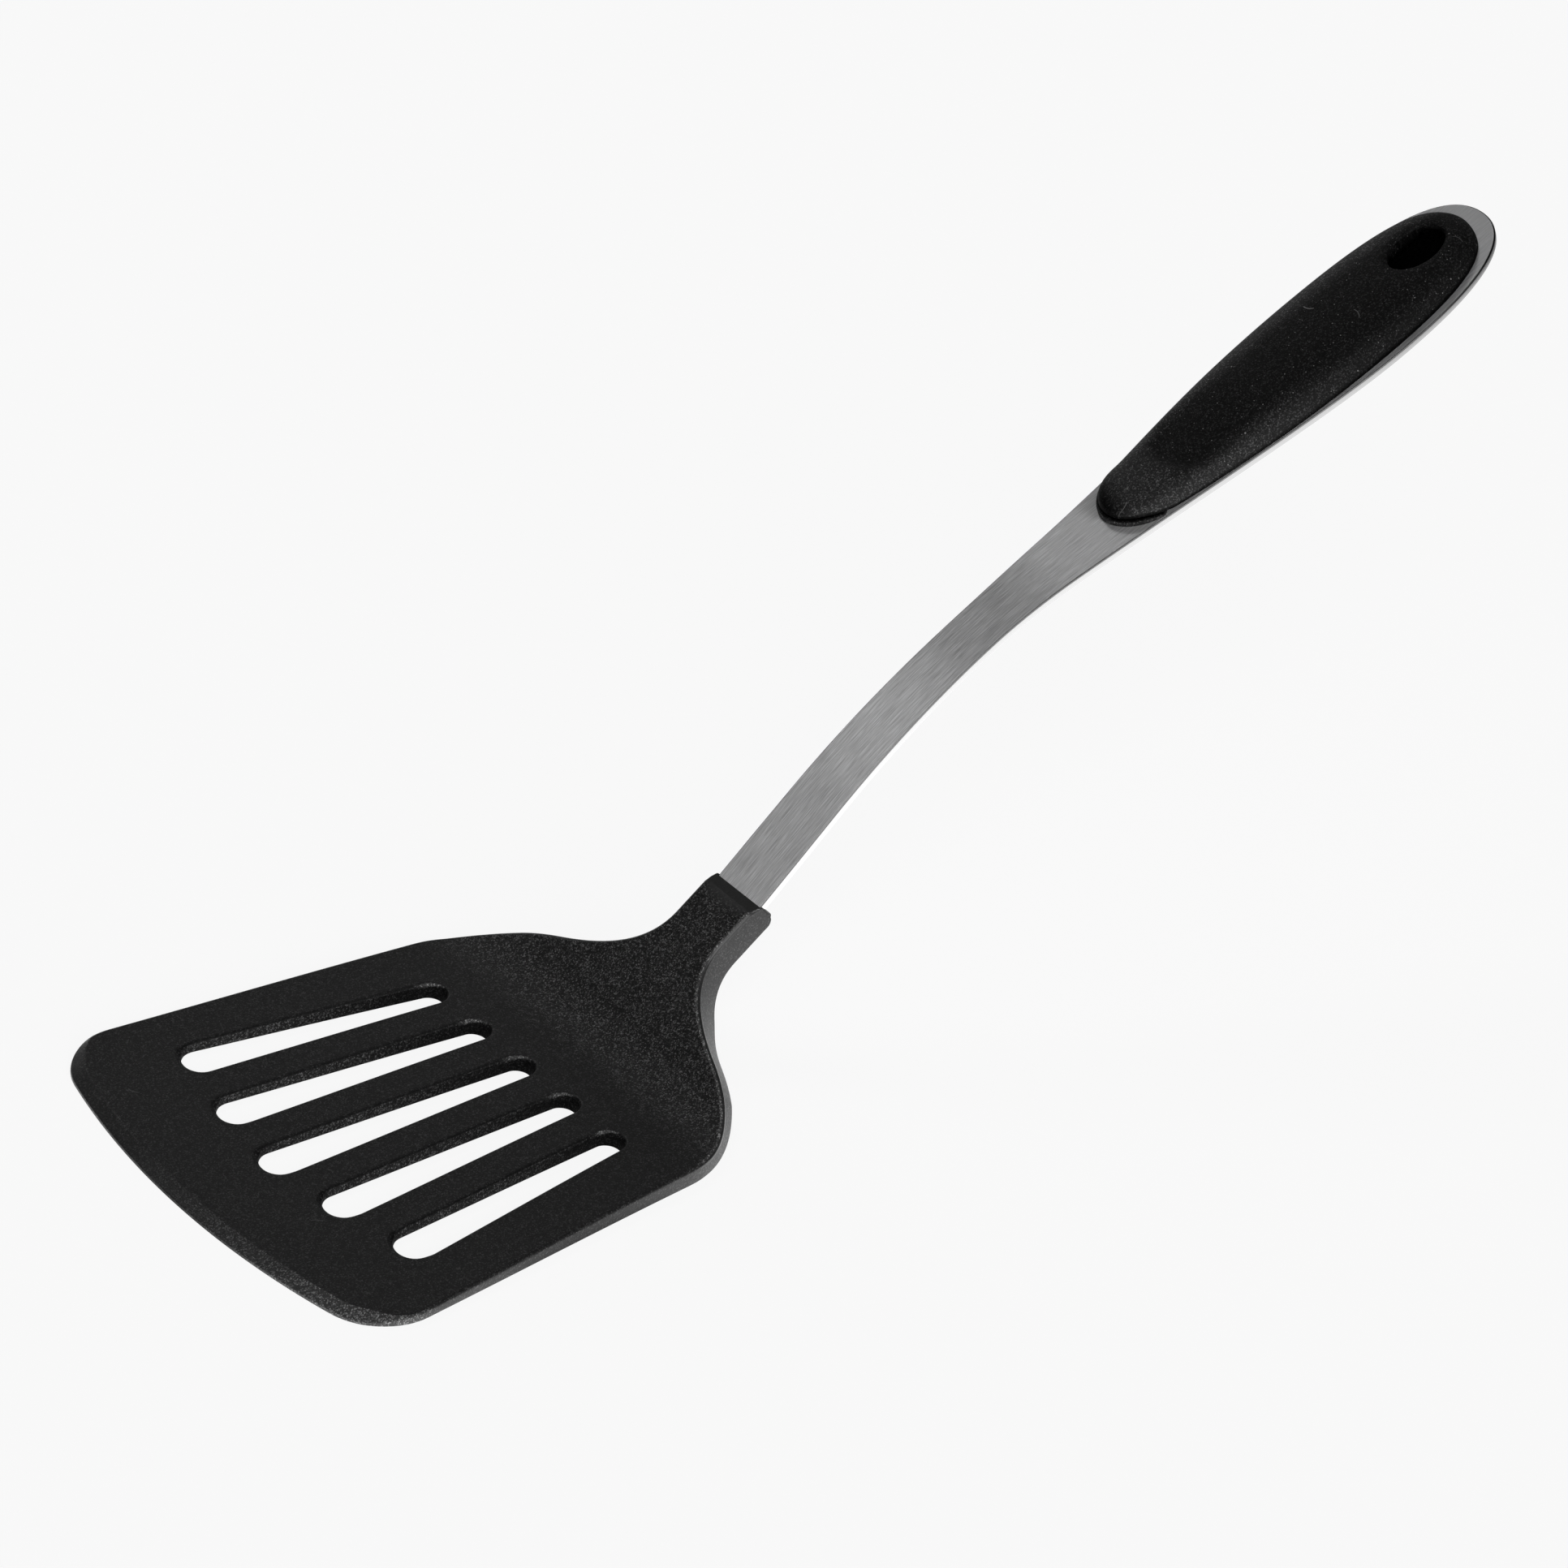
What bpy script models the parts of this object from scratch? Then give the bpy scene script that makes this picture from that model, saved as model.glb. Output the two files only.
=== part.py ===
"""Slotted turner: a nylon blade, a bent steel handle strip and a soft grip on top of the strip.

Units are metres and +Z is up. The blade's underside lies on Z = 0, the tool points along X with
the blade's front edge at low X, and Y = 0 is its plane of symmetry.
"""

import math

import bmesh
import bpy
from mathutils import Matrix, Vector

MM = 0.001
GAP = 0.3 * MM

# Blade seen from above, x from the front edge
FRONT_RADIUS = 156 * MM
FRONT_CORNER_RADIUS = 13 * MM
FRONT_FLAT = 2 * MM
SIDE_HALF_WIDTH_AT_FRONT = 49.7 * MM
SIDE_TAPER = 0.103
SIDE_END_X = 84 * MM
SHOULDER_X = 102.7 * MM
SHOULDER_HALF_WIDTH = 22.6 * MM
SHOULDER_SLOPE = math.radians(71)
SHOULDER_ROUND = 10.5 * MM
NECK_START_X = 116 * MM
NECK_HALF_WIDTH = 6.6 * MM
NECK_ROUND = (9 * MM, 6.5 * MM)

# Blade seen from the side
FRONT_THICKNESS = 1.45 * MM
BLADE_TAPER = 0.0218
BEND_START_X = 88.8 * MM
BEND_RADIUS = 17.5 * MM
NECK_ANGLE = math.radians(39.5)
LIP_X = 121.9 * MM
SHOULDER_THICKNESS = 4.0 * MM
NECK_THICKNESS = 6.4 * MM
EDGE_ROUND = 0.35 * MM
FRONT_BEVEL = 1.0 * MM
FRONT_BEVEL_END_X = 14 * MM

# Slots: middle one, then the pairs to each side of it
SLOT_FRONT_X = (22.4 * MM, 24.7 * MM, 28.4 * MM)
SLOT_REAR_X = 76.6 * MM
SLOT_PITCH_FRONT = 15.95 * MM
SLOT_PITCH_REAR = 13.2 * MM
SLOT_FRONT_RADIUS = 4.65 * MM
SLOT_REAR_RADIUS = 3.25 * MM
SLOT_DRAFT = 0.15
SLOT_DRAFT_LEVEL = 2.4 * MM

# Handle strip: top face seen from the side, s along it from the point where it leaves the neck
STRIP_START = (121.85 * MM, 22.95 * MM)
STRIP_NECK_ANGLE = math.radians(45)
STRIP_STRAIGHT = 26 * MM
STRIP_BEND_RADIUS = 190 * MM
STRIP_LOW_ANGLE = math.radians(25.4)
STRIP_GRIP_RADIUS = 1900 * MM
STRIP_THICKNESS = 1.8 * MM
STRIP_EDGE = 0.2 * MM
STRIP_END = 202.6 * MM
LIP_DEPTH = 1.9 * MM
LIP_S = 4.7 * MM
TANG_START = -11 * MM
TANG_HALF_WIDTH = 4.2 * MM
TANG_SHOULDER = 0.4 * MM
STUD_S = (-7.5 * MM, -0.5 * MM)
STUD_RADIUS = 1.6 * MM
STRIP_NECK_HALF_WIDTH = 6.15 * MM
STRIP_WAIST = (70 * MM, 5.55 * MM)
STRIP_LEAF = (166 * MM, 12.9 * MM)

# Grip: s along the strip, heights above the strip's top face
GRIP_NOSE = 104.2 * MM
GRIP_CHEEK = (113 * MM, 7.8 * MM)
GRIP_LEAF = (166 * MM, 12.5 * MM)
GRIP_TAIL = 198.1 * MM
GRIP_LIP = 1.4 * MM
GRIP_HEIGHTS = ((104, 3.7), (116, 4.3), (140, 5.7), (170, 5.6), (186, 5.0), (198, 4.2))
GRIP_END_ROUND = 9 * MM
GRIP_END_HEIGHT = 0.25
GRIP_POWER = 2.4
SKIN = 1.9 * MM
CORE_INSET = -0.4 * MM
CORE_FLANGE_TOP = GRIP_LIP - GAP
CORE_END_ROUND = 6 * MM
RING_POINTS = 16

# Hanging hole
HOLE_S = 184.9 * MM
HOLE_TOP = (6.3 * MM, 4.05 * MM)
HOLE_TOP_HEIGHT = 4.9 * MM
BUSH_BORE = (6.0 * MM, 2.3 * MM)
BUSH_WALL = 0.9 * MM
BUSH_TOP = 2.6 * MM
BUSH_FLANGE = 1.4 * MM
BUSH_FLANGE_THICKNESS = 1.5 * MM
COLLAR = 2.6 * MM
OVAL_POINTS = 28

# Grip screws
SCREW_S = (136 * MM, 163 * MM)
SCREW_HEAD_RADIUS = 2.8 * MM
SCREW_RADIUS = 1.45 * MM
SCREW_HEAD_HEIGHT = 1.35 * MM
SCREW_TIP = 2.4 * MM
SCREW_POINT = 0.8 * MM
RECESS_WIDTH = 0.7 * MM
RECESS_LENGTH = 2.8 * MM
RECESS_DEPTH = 0.8 * MM

# Finish colours, in linear values, with roughness and metallic
FINISHES = {
    "nylon": ((0.016, 0.016, 0.017), 0.62, 0.0),
    "strip_steel": ((0.52, 0.52, 0.53), 0.36, 1.0),
    "soft_rubber": ((0.010, 0.010, 0.011), 0.72, 0.0),
    "core_plastic": ((0.012, 0.012, 0.012), 0.5, 0.0),
    "screw_steel": ((0.5, 0.5, 0.5), 0.3, 1.0),
}

for old in list(bpy.data.objects):
    bpy.data.objects.remove(old, do_unlink=True)

parts = bpy.data.collections.new("slotted_turner")
cutters = bpy.data.collections.new("cutters")
for collection in (parts, cutters):
    bpy.context.scene.collection.children.link(collection)

TOOL = bpy.data.objects.new("tool_frame", None)
parts.objects.link(TOOL)


# Helpers

def finish(name):
    colour, roughness, metallic = FINISHES[name]
    material = bpy.data.materials.get(name) or bpy.data.materials.new(name)
    material.use_nodes = True
    shader = material.node_tree.nodes["Principled BSDF"]
    shader.inputs["Base Color"].default_value = (*colour, 1)
    shader.inputs["Roughness"].default_value = roughness
    shader.inputs["Metallic"].default_value = metallic
    return material


def place(obj, as_cutter=False):
    (cutters if as_cutter else parts).objects.link(obj)
    obj.parent = TOOL
    if as_cutter:
        obj.hide_render = True
        obj.display_type = "WIRE"
    return obj


def object_from(name, bm, as_cutter=False):
    bmesh.ops.recalc_face_normals(bm, faces=bm.faces)
    mesh = bpy.data.meshes.new(name)
    bm.to_mesh(mesh)
    bm.free()
    return place(bpy.data.objects.new(name, mesh), as_cutter)


def dress(obj, finish_name, smooth_angle=35):
    obj.data.materials.append(finish(finish_name))
    obj.data.shade_smooth()
    obj.data.set_sharp_from_angle(angle=math.radians(smooth_angle))


def loft(name, rings, as_cutter=False):
    """A closed solid through rings of equal point counts."""
    bm = bmesh.new()
    rows = [[bm.verts.new(point) for point in ring] for ring in rings]
    count = len(rows[0])
    for row, following in zip(rows, rows[1:]):
        for i in range(count):
            j = (i + 1) % count
            bm.faces.new((row[i], row[j], following[j], following[i]))
    bm.faces.new(rows[0])
    bm.faces.new(rows[-1])
    return object_from(name, bm, as_cutter)


def boolean(obj, cutter, operation="DIFFERENCE"):
    modifier = obj.modifiers.new(operation.lower() + "_" + cutter.name, "BOOLEAN")
    modifier.operation = operation
    modifier.object = cutter
    modifier.solver = "EXACT"


def apply_modifiers(obj):
    """Turns the evaluated shape into the object's own mesh."""
    bpy.context.view_layer.update()
    graph = bpy.context.evaluated_depsgraph_get()
    mesh = bpy.data.meshes.new_from_object(obj.evaluated_get(graph))
    obj.modifiers.clear()
    obj.data = mesh


def bezier(start, start_handle, end_handle, end, steps):
    """Points of one cubic stretch, without its last point."""
    points = []
    for i in range(steps):
        t = i / steps
        weights = ((1 - t) ** 3, 3 * t * (1 - t) ** 2, 3 * t * t * (1 - t), t**3)
        knots = (start, start_handle, end_handle, end)
        points.append(tuple(sum(w * k[a] for w, k in zip(weights, knots)) for a in (0, 1)))
    return points


def interpolate(table, x):
    """Smooth steps between the (x, value) pairs of a table."""
    if x <= table[0][0]:
        return table[0][1]
    for (x0, v0), (x1, v1) in zip(table, table[1:]):
        if x <= x1:
            t = (x - x0) / (x1 - x0)
            return v0 + (v1 - v0) * t * t * (3 - 2 * t)
    return table[-1][1]


# Blade

def half_outline():
    """Half of the blade from above as (x, half width), from the front edge to the neck's lip."""
    side = Vector((1, -SIDE_TAPER)).normalized()
    # The corner circle touches the front arc from inside and the side line.
    best = None
    for i in range(400):
        x = FRONT_CORNER_RADIUS + i * 0.05 * MM
        y = SIDE_HALF_WIDTH_AT_FRONT - SIDE_TAPER * x - FRONT_CORNER_RADIUS / side.x
        miss = abs(math.hypot(FRONT_RADIUS - x, y) - (FRONT_RADIUS - FRONT_CORNER_RADIUS))
        if best is None or miss < best[0]:
            best = (miss, x, y)
    corner = Vector(best[1:])
    front = math.atan2(corner.y, FRONT_RADIUS - corner.x)
    points = [(0, FRONT_FLAT)]
    for i in range(1, 10):
        angle = front * i / 10
        points.append((FRONT_RADIUS * (1 - math.cos(angle)), FRONT_RADIUS * math.sin(angle)))
    turn_end = math.pi / 2 - math.atan(SIDE_TAPER)
    for i in range(9):
        angle = math.pi - front + (turn_end - math.pi + front) * i / 8
        reach = Vector((math.cos(angle), math.sin(angle))) * FRONT_CORNER_RADIUS
        points.append(tuple(corner + reach))
    start = Vector((SIDE_END_X, SIDE_HALF_WIDTH_AT_FRONT - SIDE_TAPER * SIDE_END_X))
    middle = Vector((SHOULDER_X, SHOULDER_HALF_WIDTH))
    steep = Vector((math.cos(SHOULDER_SLOPE), -math.sin(SHOULDER_SLOPE)))
    neck = Vector((NECK_START_X, NECK_HALF_WIDTH))
    points += bezier(start, start + side * SHOULDER_ROUND, middle - steep * SHOULDER_ROUND, middle, 9)
    points += bezier(middle, middle + steep * NECK_ROUND[0], neck - Vector((NECK_ROUND[1], 0)), neck, 9)
    points.append(tuple(neck))
    points.append((LIP_X, NECK_HALF_WIDTH))
    return points


def blade_top(x):
    """Height and slope angle of the blade's top face in the plane of symmetry."""
    start_angle = math.atan(BLADE_TAPER)
    start_z = FRONT_THICKNESS + BLADE_TAPER * BEND_START_X
    hub_x = BEND_START_X - BEND_RADIUS * math.sin(start_angle)
    hub_z = start_z + BEND_RADIUS * math.cos(start_angle)
    end_x = hub_x + BEND_RADIUS * math.sin(NECK_ANGLE)
    if x <= BEND_START_X:
        return FRONT_THICKNESS + BLADE_TAPER * x, start_angle
    if x <= end_x:
        angle = math.asin((x - hub_x) / BEND_RADIUS)
        return hub_z - BEND_RADIUS * math.cos(angle), angle
    end_z = hub_z - BEND_RADIUS * math.cos(NECK_ANGLE)
    return end_z + (x - end_x) * math.tan(NECK_ANGLE), NECK_ANGLE


def blade_section(x):
    """Top and bottom points of the blade at x, square to its top face beyond the flat."""
    z, angle = blade_top(x)
    if x <= BEND_START_X:
        return Vector((x, 0, z)), Vector((x, 0, 0))
    table = (
        (BEND_START_X, FRONT_THICKNESS + BLADE_TAPER * BEND_START_X),
        (SHOULDER_X, SHOULDER_THICKNESS),
        (SHOULDER_X + 5 * MM, NECK_THICKNESS),
    )
    down = Vector((math.sin(angle), 0, -math.cos(angle)))
    top = Vector((x, 0, z))
    return top, top + down * interpolate(table, x)


def blade_rings():
    """Sections from the front edge to the neck's lip, where the strip goes in."""
    rows = []
    for x, half in half_outline():
        rows.append((*blade_section(x), half))
    lip, _, lip_normal = station(LIP_S)
    foot = lip - lip_normal * (NECK_THICKNESS - LIP_DEPTH)
    rows.append((lip + lip_normal * 0.1 * MM, foot, NECK_HALF_WIDTH))
    rings = []
    for top, bottom, half in rows:
        side = Vector((0, half, 0))
        rings.append((top - side, top + side, bottom + side, bottom - side))
    return rings


def slot_ring(front_x, index, level):
    """Outline of one tapered slot with round ends, at one height."""
    grow = SLOT_DRAFT * (level - SLOT_DRAFT_LEVEL)
    front = Vector((front_x, index * SLOT_PITCH_FRONT))
    rear = Vector((SLOT_REAR_X, index * SLOT_PITCH_REAR))
    front_radius = SLOT_FRONT_RADIUS + grow
    rear_radius = SLOT_REAR_RADIUS + grow
    run = rear - front
    heading = math.atan2(run.y, run.x)
    tangent = math.acos((front_radius - rear_radius) / run.length)
    points = []
    for centre, radius, first, last in (
        (rear, rear_radius, -tangent, tangent),
        (front, front_radius, tangent, 2 * math.pi - tangent),
    ):
        for i in range(11):
            angle = heading + first + (last - first) * i / 10
            reach = Vector((math.cos(angle), math.sin(angle))) * radius
            points.append((*(centre + reach), level))
    return points


def make_blade():
    blade = loft("turner_blade", blade_rings())
    merge_flats(blade)
    for index in range(-2, 3):
        front_x = SLOT_FRONT_X[abs(index)]
        rings = [slot_ring(front_x, index, level) for level in (-2 * MM, 8 * MM)]
        boolean(blade, loft(f"slot_{index + 3}", rings, as_cutter=True))
    apply_modifiers(blade)
    soften_top_edges(blade)
    boolean(blade, socket_cutter())
    apply_modifiers(blade)
    dress(blade, "nylon")


def merge_flats(obj):
    """Joins neighbouring faces that lie in one plane."""
    bm = bmesh.new()
    bm.from_mesh(obj.data)
    bmesh.ops.dissolve_limit(bm, angle_limit=math.radians(0.2), verts=bm.verts, edges=bm.edges)
    bm.to_mesh(obj.data)
    bm.free()


def soften_top_edges(blade):
    """Bevels the sharp edges of the top face: widely along the front edge, finely elsewhere."""
    bm = bmesh.new()
    bm.from_mesh(blade.data)
    weights = bm.edges.layers.float.new("bevel_weight_edge")
    for edge in bm.edges:
        on_top = any(face.normal.z > 0.6 for face in edge.link_faces)
        if not on_top or edge.calc_face_angle_signed() < math.radians(40):
            continue
        at_front = all(vert.co.x < FRONT_BEVEL_END_X for vert in edge.verts)
        edge[weights] = 1.0 if at_front else EDGE_ROUND / FRONT_BEVEL
    bm.to_mesh(blade.data)
    bm.free()
    modifier = blade.modifiers.new("top_edges", "BEVEL")
    modifier.limit_method = "WEIGHT"
    modifier.width = FRONT_BEVEL
    modifier.segments = 1
    apply_modifiers(blade)


# Strip frame

def station(s):
    """Point, tangent and normal of the strip's top face in the plane of symmetry."""
    arc = (STRIP_NECK_ANGLE - STRIP_LOW_ANGLE) * STRIP_BEND_RADIUS
    start = Vector((STRIP_START[0], 0, STRIP_START[1]))

    def heading(angle):
        return Vector((math.cos(angle), 0, math.sin(angle)))

    def upward(angle):
        return Vector((-math.sin(angle), 0, math.cos(angle)))

    if s <= STRIP_STRAIGHT:
        angle = STRIP_NECK_ANGLE
        return start + heading(angle) * s, heading(angle), upward(angle)
    bend = start + heading(STRIP_NECK_ANGLE) * STRIP_STRAIGHT
    hub = bend - upward(STRIP_NECK_ANGLE) * STRIP_BEND_RADIUS
    if s <= STRIP_STRAIGHT + arc:
        angle = STRIP_NECK_ANGLE - (s - STRIP_STRAIGHT) / STRIP_BEND_RADIUS
        return hub + upward(angle) * STRIP_BEND_RADIUS, heading(angle), upward(angle)
    low = hub + upward(STRIP_LOW_ANGLE) * STRIP_BEND_RADIUS
    far_hub = low + upward(STRIP_LOW_ANGLE) * STRIP_GRIP_RADIUS
    angle = STRIP_LOW_ANGLE + (s - STRIP_STRAIGHT - arc) / STRIP_GRIP_RADIUS
    return far_hub - upward(angle) * STRIP_GRIP_RADIUS, heading(angle), upward(angle)


def on_strip(s, y, height):
    point, _, normal = station(s)
    return point + normal * height + Vector((0, y, 0))


def strip_matrix(s, height=0.0):
    """Local X along the strip and local Z off its top face."""
    point, tangent, normal = station(s)
    across = normal.cross(tangent)
    turn = Matrix((tangent, across, normal)).transposed().to_4x4()
    return Matrix.Translation(point + normal * height) @ turn


def block(name, s0, s1, half_width, low, high):
    """A bar along a straight stretch of the strip, as a cutter."""
    corners = ((-1, low), (1, low), (1, high), (-1, high))
    rings = [[on_strip(s, side * half_width, h) for side, h in corners] for s in (s0, s1)]
    return loft(name, rings, as_cutter=True)


def round_cutter(name, s, radius, low, high, top_radius=None):
    """A cylinder or cone square to the strip's face, as a cutter."""
    bm = bmesh.new()
    bmesh.ops.create_cone(
        bm,
        cap_ends=True,
        segments=20,
        radius1=radius,
        radius2=top_radius or radius,
        depth=high - low,
        matrix=strip_matrix(s, (low + high) / 2),
    )
    return object_from(name, bm, as_cutter=True)


def oval_ring(s, half_length, half_width, height):
    """A slot-shaped ring with straight sides and round ends, square to the strip's face."""
    matrix = strip_matrix(s, height)
    straight = half_length - half_width
    ring = []
    for i in range(OVAL_POINTS):
        angle = 2 * math.pi * (i + 0.5) / OVAL_POINTS
        x = half_width * math.cos(angle) + math.copysign(straight, math.cos(angle))
        ring.append(matrix @ Vector((x, half_width * math.sin(angle), 0)))
    return ring


def oval_cutter(name, s, sizes):
    """A cutter through oval rings given as (half length, half width, height)."""
    return loft(name, [oval_ring(s, *size) for size in sizes], as_cutter=True)


def socket_cutter():
    """Room for the tang in the neck, with two studs of the moulding left standing in it."""
    low = -STRIP_THICKNESS - GAP
    socket = block("tang_socket", TANG_START - GAP, LIP_S + 4 * MM, TANG_HALF_WIDTH + GAP, low, GAP)
    for number, s in enumerate(STUD_S, 1):
        boolean(socket, round_cutter(f"stud_{number}", s, STUD_RADIUS, low - MM, GAP + MM))
    apply_modifiers(socket)
    return socket


# Strip

def strip_outline():
    """(s, half width) along the strip, from the tang to the tip of the leaf."""
    lip = LIP_S + GAP
    rows = [(TANG_START, TANG_HALF_WIDTH), (lip, TANG_HALF_WIDTH)]
    waist, leaf = STRIP_WAIST[1], STRIP_LEAF[1]
    start = (lip + TANG_SHOULDER, STRIP_NECK_HALF_WIDTH)
    rows += bezier(start, (25 * MM, start[1]), (50 * MM, waist), STRIP_WAIST, 12)
    rows += bezier(STRIP_WAIST, (100 * MM, waist), (145 * MM, leaf), STRIP_LEAF, 16)
    rows += bezier(STRIP_LEAF, (184 * MM, leaf), (STRIP_END, 11 * MM), (STRIP_END, 0), 14)
    rows.append((STRIP_END - 0.02 * MM, 0.8 * MM))
    return rows


def make_strip():
    rings = []
    for s, half in strip_outline():
        corners = []
        for side, level in ((1, -STRIP_THICKNESS), (1, 0), (-1, 0), (-1, -STRIP_THICKNESS)):
            inner = level + math.copysign(STRIP_EDGE, -level - STRIP_THICKNESS / 2)
            pair = [(side * (half - STRIP_EDGE), level), (side * half, inner)]
            corners += pair if side * (level + STRIP_THICKNESS / 2) < 0 else pair[::-1]
        rings.append([on_strip(s, y, height) for y, height in corners])
    strip = loft("handle_strip", rings)
    below, above = -STRIP_THICKNESS - MM, MM
    for number, s in enumerate(STUD_S, 1):
        boolean(strip, round_cutter(f"tang_hole_{number}", s, STUD_RADIUS + GAP, below, above))
    for number, s in enumerate(SCREW_S, 1):
        boolean(strip, round_cutter(f"screw_hole_{number}", s, SCREW_RADIUS + GAP, below, above))
        low = -STRIP_THICKNESS - 0.2 * MM
        sink = SCREW_HEAD_RADIUS + GAP + 0.2 * MM
        narrow = SCREW_RADIUS / 2
        boolean(strip, round_cutter(f"countersink_{number}", s, sink, low, low + sink - narrow, narrow))
    hole = [size + BUSH_WALL + GAP for size in BUSH_BORE]
    boolean(strip, oval_cutter("bush_seat", HOLE_S, [(*hole, below), (*hole, above)]))
    apply_modifiers(strip)
    dress(strip, "strip_steel")


# Grip

def grip_outline():
    """(s, half width) of the soft grip's lip, from the nose to the tail."""
    leaf = GRIP_LEAF[1]
    rows = bezier((GRIP_NOSE, 0), (GRIP_NOSE, 4.2 * MM), (108.5 * MM, 7.0 * MM), GRIP_CHEEK, 9)
    rows += bezier(GRIP_CHEEK, (130 * MM, 9.6 * MM), (150 * MM, leaf), GRIP_LEAF, 10)
    rows += bezier(GRIP_LEAF, (184.5 * MM, leaf), (GRIP_TAIL, 10.3 * MM), (GRIP_TAIL, 0), 14)
    return rows[1:]


def dome_rings(inset, foot, drop, end_round):
    """Rings of the grip's domed section, drawn in by an inset all round."""
    rings = []
    table = tuple((s * MM, h * MM) for s, h in GRIP_HEIGHTS)
    nose, tail = GRIP_NOSE + inset, GRIP_TAIL - inset
    shrink = (tail - nose) / (GRIP_TAIL - GRIP_NOSE)
    for s, half in grip_outline():
        s = nose + (s - GRIP_NOSE) * shrink
        half = max(half - inset * min(1, half / (4 * MM)), 0.4 * MM)
        reach = min(s - nose, tail - s, end_round) / end_round
        swell = (1 - (1 - reach) ** GRIP_POWER) ** (1 / GRIP_POWER)
        rise = interpolate(table, s) - drop - foot
        rise *= GRIP_END_HEIGHT + (1 - GRIP_END_HEIGHT) * swell
        ring = []
        for i in range(RING_POINTS + 1):
            angle = math.pi * i / RING_POINTS
            c, n = math.cos(angle), math.sin(angle)
            y = half * math.copysign(abs(c) ** (2 / GRIP_POWER), c)
            ring.append(on_strip(s, y, foot + rise * n ** (2 / GRIP_POWER)))
        rings.append(ring)
    return rings


def flange_rings(inset, low, high):
    rings = []
    for s, half in grip_outline():
        half = max(half - inset * min(1, half / (4 * MM)), 0.4 * MM)
        s = GRIP_NOSE + inset + (s - GRIP_NOSE) * (1 - 2 * inset / (GRIP_TAIL - GRIP_NOSE))
        corners = ((half, low), (half, high), (-half, high), (-half, low))
        rings.append([on_strip(s, y, height) for y, height in corners])
    return rings


def collar_cutter(name, extra):
    """The oval column of soft material round the hanging hole."""
    sizes = [size + COLLAR + extra for size in BUSH_BORE]
    return oval_cutter(name, HOLE_S, [(*sizes, -3 * MM), (*sizes, 12 * MM)])


def make_soft_grip():
    grip = loft("soft_grip", dome_rings(0, GRIP_LIP, 0, GRIP_END_ROUND))
    hollow = loft("skin_hollow", dome_rings(SKIN, GRIP_LIP - MM, SKIN, CORE_END_ROUND), as_cutter=True)
    boolean(hollow, collar_cutter("collar_keep", 0))
    apply_modifiers(hollow)
    boolean(grip, hollow)
    seat = [size + BUSH_WALL + GAP for size in BUSH_BORE]
    boolean(grip, oval_cutter("bush_pocket", HOLE_S, [(*seat, -MM), (*seat, BUSH_TOP + GAP)]))
    steep = (HOLE_TOP[0] - BUSH_BORE[0]) / (HOLE_TOP_HEIGHT - BUSH_TOP)
    wide = (HOLE_TOP[1] - BUSH_BORE[1]) / (HOLE_TOP_HEIGHT - BUSH_TOP)
    funnel = []
    for height in (BUSH_TOP - MM, HOLE_TOP_HEIGHT + 3 * MM):
        rise = height - BUSH_TOP
        funnel.append((BUSH_BORE[0] + steep * rise, BUSH_BORE[1] + wide * rise, height))
    boolean(grip, oval_cutter("hole_funnel", HOLE_S, funnel))
    apply_modifiers(grip)
    dress(grip, "soft_rubber")


def make_core():
    core = loft("grip_core", flange_rings(CORE_INSET, GAP, CORE_FLANGE_TOP))
    inside = SKIN + GAP
    body = loft("core_body", dome_rings(inside, GAP + 0.2 * MM, inside, CORE_END_ROUND), as_cutter=True)
    boolean(core, body, "UNION")
    boolean(core, collar_cutter("collar_room", GAP))
    for number, s in enumerate(SCREW_S, 1):
        pilot = round_cutter(f"pilot_{number}", s, SCREW_RADIUS + GAP, -MM, SCREW_TIP + GAP)
        boolean(core, pilot)
    apply_modifiers(core)
    dress(core, "core_plastic")


def make_bush():
    """The lining of the hanging hole, with its flange behind the strip."""
    inner = [size + BUSH_WALL for size in BUSH_BORE]
    outer = [size + BUSH_WALL + BUSH_FLANGE for size in BUSH_BORE]
    back = -STRIP_THICKNESS - GAP
    foot = back - BUSH_FLANGE_THICKNESS
    sizes = [(*outer, foot), (*outer, back), (*inner, back), (*inner, BUSH_TOP)]
    bush = loft("hanging_bush", [oval_ring(HOLE_S, *size) for size in sizes])
    bore = [(*BUSH_BORE, foot - MM), (*BUSH_BORE, BUSH_TOP + MM)]
    boolean(bush, oval_cutter("bush_bore", HOLE_S, bore))
    apply_modifiers(bush)
    dress(bush, "core_plastic")


# Screws

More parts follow.
